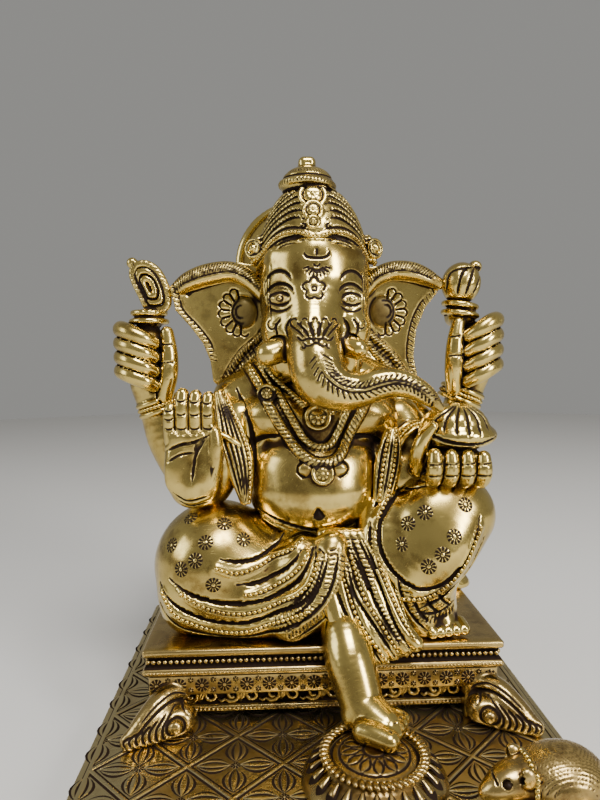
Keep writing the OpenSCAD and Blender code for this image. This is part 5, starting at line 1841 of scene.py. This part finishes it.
# %% The scroll feet
def sculpt_foot(name, sx, front):
    """An acanthus foot in its corner. sx is the side in x, front is 1 for the front pair."""
    cx = sx * 47.0 + 2.0
    cy = -13.0 if front > 0 else 53.0
    corner_y = SEAT_LOW + 1.5 if front > 0 else SEAT_HIGH - 1.5
    low = np.minimum((cx - sx * 12, cy - front * 20), (cx + sx * 17, cy + front * 12))
    high = np.maximum((cx - sx * 12, cy - front * 20), (cx + sx * 17, cy + front * 12))
    clay = Clay((low[0], low[1], 8.6), (high[0], high[1], 27), 0.36)
    far_x, far_y = sx * 53.4, corner_y
    near_x, near_y = far_x - sx * 10, far_y + front * 10
    clay.add(block(np.minimum((far_x, far_y, 9), (near_x, near_y, 9)), np.maximum((far_x, far_y, 25.4),
        (near_x, near_y, 25.4)), 0.6))
    clay.limb([(cx - sx * 1, cy - front * 1, 20, 3.6), (cx + sx * 4, cy - front * 7, 18.6, 3.8),
               (cx + sx * 8, cy - front * 11, 14.8, 3.8), (cx + sx * 12.4, cy - front * 14, 11.4, 2.4)],
              1)
    clay.limb([(cx - sx * 2.2, cy - front * 8, 14.2, 4.2), (cx + sx * 2, cy - front * 9.4, 13.6, 4.4),
               (cx + sx * 7, cy - front * 11.6, 12.4, 3.6), (cx + sx * 12.4, cy - front * 14, 11.2, 2.4)],
              1)
    clay.keep(above(PLATE_TOP))
    # A boss at the inner side, ribs that curl over it, and a crescent on top.
    boss = np.array((cx - sx * 0.8, 14.2))
    way = (0, front, 0)
    at = clay.drop([(boss[0], 0, boss[1])], way)[0]
    clay.engrave(arc(boss, (2.6, 2.6), 0, 360, 24), 0.8, 0.6, 1, way)
    clay.egg(at, (2, 1.4, 2), 0.2)
    for k in range(7):
        foot = boss + np.array((sx * (3.0 + 1.75 * k), -4.4 + 0.1 * k))
        crest = boss + np.array((sx * (0.8 + 1.9 * k), 4.6 - 0.85 * k))
        bulge = (foot + crest) / 2 + np.array((sx * 1.7, 0.2))
        clay.draw([foot, bulge, crest], 0.75, 0.55, 1, way)
    for lift_z, width in ((5.6, 0.9), (7.4, 0.6)):
        crown_line = [boss + np.array((-sx * 3.4, lift_z - 3.2)), boss + np.array((sx * 1, lift_z)),
            boss + np.array((sx * 6, lift_z - 1.6)), boss + np.array((sx * 11, lift_z - 6.4))]
        clay.draw(crown_line, width, width * 0.75, 1, way)
    for k in range(5):
        side_start = [(sx * 60, cy - front * (2 + 2.6 * k), 22 - 1.5 * k),
            (sx * 60, cy - front * (12 + 0.4 * k), 12)]
        clay.engrave_at(clay.drop(even_steps(np.array(side_start), 0.45), (-sx, 0, 0)), 0.9, 0.6)
    cast(clay, name.replace("_", " "), [name], THRONE)


for foot_name, foot_side, foot_end in (("throne_foot_front_right", -1, 1), ("throne_foot_front_left", 1,
        1), ("throne_foot_rear_right", -1, -1), ("throne_foot_rear_left", 1, -1)):
    sculpt_foot(foot_name, foot_side, foot_end)

# %% [markdown]
# ## Lotus footrest and mouse
#
# The footrest is a round pad with a petal pattern, a thick rope of slanted beads, and two rows of bossed
# petals. The mouse crouches at the front corner with a finely hatched coat.

# %% The lotus footrest
LOTUS = np.array((10.7, -44.5))


def petal_shape(length, width, height):
    """A bossed petal lying along +X, with a rolled rim and an inked channel inside it."""
    rows, across = 8, 9
    verts, ink, ridge = [], [], []
    for i in range(rows):
        t = i / (rows - 1)
        half = width * math.sin(math.pi * (0.18 + 0.82 * t) * 0.5) * (1 - max(t - 0.62, 0) ** 2 * 6.2)
        for j in range(across):
            u = 2 * j / (across - 1) - 1
            rim = max(abs(u), (t - 0.25) / 0.75 if t > 0.25 else 0)
            swell = (1 - u * u) * math.sin(math.pi * min(t * 0.9 + 0.06, 1))
            channel = 0.60 < rim < 0.86
            z = height * (0.35 + 0.65 * swell) - (0.35 * height if channel else 0)
            if rim > 0.95:
                z = 0.0
            verts.append((length * t, half * u, z))
            ink.append(1.0 if channel else (0.5 if rim > 0.95 else 0))
            ridge.append(0.0 if channel else 0.8)
    return small_mesh("Petal", verts, quad_grid(rows, across), ink, np.array(ink) * 0.5, ridge)


def petal_ring(name, radius, z, count, shape, tilt, turn=0.0):
    """Petals that lie outwards round the footrest, tipped by `tilt` degrees."""
    places, facing, spins = [], [], []
    for k in range(count):
        a = 2 * math.pi * (k + turn) / count
        out = np.array((math.cos(a), math.sin(a), 0))
        places.append((LOTUS[0] + radius * out[0], LOTUS[1] + radius * out[1], z))
        lean = math.radians(tilt)
        n = out * math.sin(lean) + np.array((0, 0, math.cos(lean)))
        facing.append(n)
        spins.append(a)
    scatter(name, shape, places, facing, THRONE, spins)


def sculpt_lotus():
    low = (LOTUS[0] - 21, LOTUS[1] - 21, 8.6)
    high = (LOTUS[0] + 21, LOTUS[1] + 21, 20)
    clay = Clay(low, high, 0.34)
    x, y = LOTUS
    clay.egg((x, y, 9.4), (19.4, 19.4, 7.4))
    clay.egg((x, y, 12), (15.4, 15.4, 5.2), 0.4)
    clay.egg((x, y, 14), (13.6, 13.6, 4), 0.4)
    clay.keep(slab_under((0, 0, 1), 18))
    clay.keep(above(PLATE_TOP))
    for radius, width, depth in ((11.6, 1, 0.6), (9.4, 0.7, 0.4), (3, 0.7, 0.4)):
        t = np.linspace(0, 2 * math.pi, 70)
        circle = np.stack([x + radius * np.cos(t), y + radius * np.sin(t), 0 * t], axis=1)
        clay.engrave_at(clay.drop(circle, DOWN), width, depth)
    for k in range(12):
        a = 2 * math.pi * k / 12
        for bend in (-0.2, 0.2):
            radii = np.linspace(3.4, 9, 9)
            angle = a + bend * np.sin(np.linspace(0, math.pi, 9))
            leaf = np.stack([x + radii * np.cos(angle), y + radii * np.sin(angle), 0 * radii], axis=1)
            clay.engrave_at(clay.drop(leaf, DOWN), 0.6, 0.4)
    cast(clay, "lotus", ["lotus_cup", "lotus_pad"], THRONE)


sculpt_lotus()
t = np.linspace(0, 2 * math.pi, 72, endpoint=False)
rope_ring = [np.stack([LOTUS[0] + 13.2 * np.cos(t), LOTUS[1] + 13.2 * np.sin(t), 0 * t + 17.1], axis=1)]
petal_ring("lotus petals", 13.9, 15.4, 26, petal_shape(5.4, 1.75, 0.9), 38)
petal_ring("lower petals", 16.4, 12.6, 26, petal_shape(5, 2, 1), 52, 0.5)
beads("lotus rope", rope_ring, 0.86, 1.75, THRONE, 2, 62, True)


# %% The mouse
def sculpt_mouse():
    clay = Clay((30, -70, 8.6), (69, -36, 30), 0.34)
    clay.egg((56, -54, 15.2), (11.6, 9.4, 8.2), turn=(0, -4, 0))
    clay.limb([(47.4, -54, 15, 5.6), (43, -55, 15, 5), (39.2, -56, 14.2, 3.6), (36.8, -56.2, 13.6, 2.2)],
              1.2)
    for y in (-59.6, -50):
        clay.egg((45.6, y, 19), (2.4, 1.5, 2.8), 0.4, turn=(0, -20, 0))
        clay.carve(egg((44.4, y, 19.1), (1.4, 1, 1.9), (0, -20, 0)), 0.3, 1)
    clay.limb([(64, -51, 12, 2), (66, -45, 11, 1.6), (61, -40, 10.6, 1.2)], 0.5)
    for at in ((45, -61.4, 11), (44.4, -48.6, 11), (59, -62, 11.4)):
        clay.egg(at, (4.4, 2.4, 2.2), 0.6)
    clay.keep(above(PLATE_TOP))
    for y in (-59, -53):
        clay.carve(ball((40.8, y, 17.2), 1.2), 0.1, 1)
        clay.add(ball((41, y, 17), 0.9), 0.1)
    clay.engrave_at(clay.drop([(38.6, -58.4, 0), (38.2, -56.2, 0), (38.6, -54, 0)], DOWN), 0.6, 0.5)
    # The coat: rows of short strokes that follow the back.
    pairs = []
    for row in range(26):
        across = -62.4 + 0.72 * row
        for k in range(24):
            x = 48.2 + 0.92 * k + 0.46 * (row % 2)
            pairs.append([(x, across, 0), (x + 0.62, across + 0.22, 0)])
    clay.strokes(pairs, 0.36, 0.22, 0.75, DOWN)
    t = np.linspace(0, 2 * math.pi, 72, endpoint=False)[::2]
    collar = np.stack([0 * t + 47.6, -54 + 9 * np.cos(t), 15 + 9 * np.sin(t)], axis=1)
    inward = np.array((47.6, -54, 15)) - collar
    ROPE_BEADS.append(clay.drop(collar[collar[:, 2] > 12], inward[collar[:, 2] > 12], 6))
    cast(clay, "mouse", ["mouse"], THRONE)


sculpt_mouse()

# %% [markdown]
# ## The engraved base plate
#
# The plate is a bevelled slab whose top is darkened. Its pattern stands on it as raised work: double
# lattice bars along both diagonals, four leaf petals in each diamond and a stud in its middle. A plain
# strip frames it.

# %% The plate and its edge strips
HALF_X, HALF_Y = 69, 79.0
PLATE_PROFILE = [(3, 9, 0, 0.1, 0.5), (0.7, 9, 0, 0, 0.8), (0.15, 8.85, 0, 0, 1), (0, 8.4, 0, 0, 1),
    (0, 5.6, 0, 0.1, 0.5), (0.3, 5.15, 0.6, 0.6, 0), (0.6, 5, 1, 0.9, 0)]
EDGE_PROFILE = [(0.7, 5, 1, 0.9, 0), (0.25, 4.8, 0.4, 0.4, 0.2), (0.1, 4.4, 0, 0, 0.8),
    (0.1, 3.3, 0, 0, 0.6), (0.5, 3, 0.9, 0.8, 0), (0.5, 2.3, 0.9, 0.8, 0), (0.1, 2, 0, 0, 0.7),
    (0, 0.8, 0, 0, 0.9), (0.2, 0.2, 0, 0.1, 0.7), (0.7, 0, 0.3, 0.4, 0)]

sweep_frame("base plate", HALF_X, -HALF_Y, HALF_Y, PLATE_PROFILE, ["base_plate"], PLATE, 1.4)
sweep_frame("base edge", HALF_X, -HALF_Y, HALF_Y, EDGE_PROFILE, ["base_edge_front", "base_edge_back",
    "base_edge_right", "base_edge_left"], PLATE, 1.4)

PITCH = 13.2
ROW_Y = -36.0
FIELD_X, FIELD_Y = 66, 76.0


# %% Raised strips along lines
def strip_mesh(name, lines, rows):
    """A raised strip along each line, with `rows` of (offset, height, ink) across it."""
    verts, marks, faces = [], [], []
    for a, b in lines:
        a, b = np.array(a, float), np.array(b, float)
        way = unit(b - a)
        side = np.array((-way[1], way[0]))
        cuts = max(int(np.linalg.norm(b - a) / 3), 1)
        first = len(verts)
        for k in range(cuts + 1):
            p = a + (b - a) * k / cuts
            for offset, z, dark in rows:
                q = p + side * offset
                verts.append((q[0], q[1], z))
                marks.append(dark)
        faces += quad_grid(cuts + 1, len(rows), first)
    obj = new_object(name, verts, faces, PLATE)
    marks = np.array(marks)
    put_marks(obj.data, marks, marks * 0.4, 1 - marks)
    hand_over(obj)


def lattice_lines():
    """Both families of diagonals, clipped to the bordered field."""
    lines = []
    for k in range(-14, 15):
        for sign in (1, -1):
            offset = ROW_Y + PITCH * (2 * k + 1)
            ends = []
            for x in (-FIELD_X, FIELD_X):
                ends.append(np.array((x, offset + sign * x)))
            a, b = ends
            span = b - a
            low = (np.array([-FIELD_Y, FIELD_Y]) - a[1]) / span[1]
            t0, t1 = max(0, low.min()), min(1, low.max())
            if t1 - t0 > 0.02:
                lines.append((a + span * t0, a + span * t1))
    return lines


BAR = [(-1.25, 8.98, 1), (-1.05, 9.05, 1), (-0.62, 9.07, 0.9), (-0.5, 9.30, 0), (0, 9.36, 0),
       (0.5, 9.30, 0), (0.62, 9.07, 0.9), (1.05, 9.05, 1), (1.25, 8.98, 1)]
strip_mesh("lattice", lattice_lines(), BAR)
RIM = [(-1, 8.98, 1), (-0.75, 9.05, 1), (-0.45, 9.28, 0), (0.45, 9.28, 0), (0.75, 9.05, 1), (1, 8.98, 1)]
corner_x, corner_y = FIELD_X + 0.3, FIELD_Y + 0.3
strip_mesh("field border", [((-corner_x, -corner_y), (corner_x, -corner_y)), ((corner_x, -corner_y),
    (corner_x, corner_y)), ((corner_x, corner_y), (-corner_x, corner_y)), ((-corner_x, corner_y),
    (-corner_x, -corner_y))], RIM)


# %% Leaf petals in the diamonds, by Geometry Nodes
def leaf_shape(length, width):
    """A leaf along +X: an inked outline, a bright rim, an inked line inside and a dark midrib."""
    verts, marks = [], []
    cuts = 7
    rows = ((-1.22, 0, 1), (-1, 0.10, 1), (-0.86, 0.26, 0), (-0.62, 0.26, 0), (-0.52, 0.08, 1),
            (-0.34, 0.10, 0.9), (-0.24, 0.26, 0), (0.24, 0.26, 0), (0.34, 0.10, 0.9), (0.52, 0.08, 1),
            (0.62, 0.26, 0), (0.86, 0.26, 0), (1, 0.10, 1), (1.22, 0, 1))
    for k in range(cuts + 1):
        t = k / cuts
        half = width * math.sin(math.pi * t) ** 0.75 + 0.05
        for u, z, dark in rows:
            verts.append((length * t, half * u, z))
            marks.append(dark)
    marks = np.array(marks)
    return small_mesh("Leaf", verts, quad_grid(cuts + 1, len(rows)), marks, marks * 0.4, 1 - marks)


def diamond_centres():
    centres = []
    for row in range(-12, 14):
        y = ROW_Y + PITCH * row
        for column in range(-6, 7):
            x = PITCH * 2 * column + (PITCH if row % 2 else 0)
            if abs(x) <= FIELD_X + 0.1 and abs(y) <= FIELD_Y + 0.1:
                centres.append((x, y))
    return centres


places, spins = [], []
for x, y in diamond_centres():
    for k in range(4):
        a = math.pi / 2 * k
        tip = np.array((x + 10.4 * math.cos(a), y + 10.4 * math.sin(a)))
        if abs(tip[0]) < FIELD_X and abs(tip[1]) < FIELD_Y:
            places.append((x + 1.4 * math.cos(a), y + 1.4 * math.sin(a), 9))
            spins.append(a)
scatter("diamond petals", leaf_shape(9.2, 2.7), places, [(0, 0, 1)] * len(places), PLATE, spins)
places = [(x, y, 8.97) for x, y in diamond_centres()]
scatter("diamond studs", starburst(1.5, 8), places, [(0, 0, 1)] * len(places), PLATE)


# %% Screws underneath keep their shape
for node_name in ("throne_screws", "figure_bolts", "lotus_screw", "mouse_screw"):
    kept = [o for o in bpy.data.objects if o.type == "MESH" and o.name == node_name]
    for screw in kept:
        for slot_index in range(len(screw.data.materials)):
            screw.data.materials[slot_index] = STEEL
        if not screw.data.materials:
            screw.data.materials.append(STEEL)

# %% [markdown]
# ## Beads and stamps on the figure
#
# While the clay was worked, each hem left the path of its beads and each stamp its place. They are set
# now.

# %% Figure trims
beads("hem beads", HEM_BEADS, 0.74, 1.56, FIGURE, 1.1, 20)
beads("rope beads", ROPE_BEADS, 0.72, 1.25, FIGURE, 1.35, 40)
scatter("cloth stamps", starburst(2.4), STAMP_PLACES, STAMP_FACING, FIGURE)
scatter("medallion rosettes", starburst(1, 8, 0.45), ROSETTE_PLACES, ROSETTE_FACING, FIGURE,
        size=ROSETTE_SIZES)


# %% [markdown]
# ## Camera, floor and light
#
# The camera stands close, a little above the crown's foot, and looks slightly down through a wide lens,
# so the base flares towards the viewer. The light is soft: a broad window above and in front, a second
# window from the right, and a dim fill.

# %% Camera
CAMERA_AT = (-0.015, -0.2007, 0.1213)
# Yaw, pitch and roll, in degrees.
CAMERA_TURN = (2.5, -4, 0.47)


def axes_matrix(side, up, away, location):
    """A placement from three axes and a point."""
    place = np.eye(4)
    place[:3, :3] = np.stack([side, up, away], axis=1)
    place[:3, 3] = location
    return Matrix(place.tolist())


def add_camera():
    data = bpy.data.cameras.new("Camera")
    data.lens = 28
    data.sensor_width = 36
    data.sensor_fit = "AUTO"
    data.clip_start = 0.01
    camera = link("Camera", data)
    yaw, pitch, roll = [math.radians(a) for a in CAMERA_TURN]
    forward = np.array([math.sin(yaw) * math.cos(pitch), math.cos(yaw) * math.cos(pitch),
        math.sin(pitch)])
    right = np.array([math.cos(yaw), -math.sin(yaw), 0])
    up = np.cross(right, forward)
    side = right * math.cos(roll) - up * math.sin(roll)
    top = right * math.sin(roll) + up * math.cos(roll)
    camera.matrix_world = axes_matrix(side, top, -forward, CAMERA_AT)
    bpy.context.scene.camera = camera


add_camera()


# %% Floor
# The floor is a round disc just under the base, in metres.
FLOOR_RADIUS, FLOOR_SIDES, FLOOR_GAP = 1.2, 96, 0.0002


def add_floor():
    mesh = bpy.data.meshes.new("Floor")
    turns = np.linspace(0, 2 * math.pi, FLOOR_SIDES, endpoint=False)
    rim = [(FLOOR_RADIUS * math.cos(a), FLOOR_RADIUS * math.sin(a), 0) for a in turns]
    mesh.from_pydata(rim, [], [tuple(range(FLOOR_SIDES))])
    floor = link("Floor", mesh)
    floor.location.z = -FLOOR_GAP
    material = bpy.data.materials.new("Pale floor")
    material.use_nodes = True
    shader = material.node_tree.nodes["Principled BSDF"]
    shader.inputs["Base Color"].default_value = colour(0.62, 0.61, 0.59)
    shader.inputs["Roughness"].default_value = 0.75
    mesh.materials.append(material)


add_floor()


# %% Light
def add_window(name, location, target, width, height, watts, tint):
    data = bpy.data.lights.new(name, "AREA")
    data.shape = "RECTANGLE"
    data.size = width
    data.size_y = height
    data.energy = watts
    data.color = tint
    lamp = link(name, data)
    away = unit(np.array(location) - np.array(target))
    side = unit(np.cross((0, 0, 1), away))
    up = np.cross(away, side)
    lamp.matrix_world = axes_matrix(side, up, away, location)


middle = (0, 0, 0.09)
add_window("Window above", (0.10, -0.42, 0.80), middle, 0.36, 0.30, 9, (1, 0.98, 0.95))
add_window("Window right", (0.62, -0.62, 0.42), middle, 0.18, 0.36, 6.5, (1, 0.98, 0.94))
add_window("Window left", (-0.8, -0.2, 0.4), middle, 0.35, 0.45, 2, (0.92, 0.96, 1))

world = bpy.data.worlds.new("Room")
world.use_nodes = True
world.node_tree.nodes["Background"].inputs["Color"].default_value = colour(0.47, 0.465, 0.445)
world.node_tree.nodes["Background"].inputs["Strength"].default_value = 0.60
bpy.context.scene.world = world
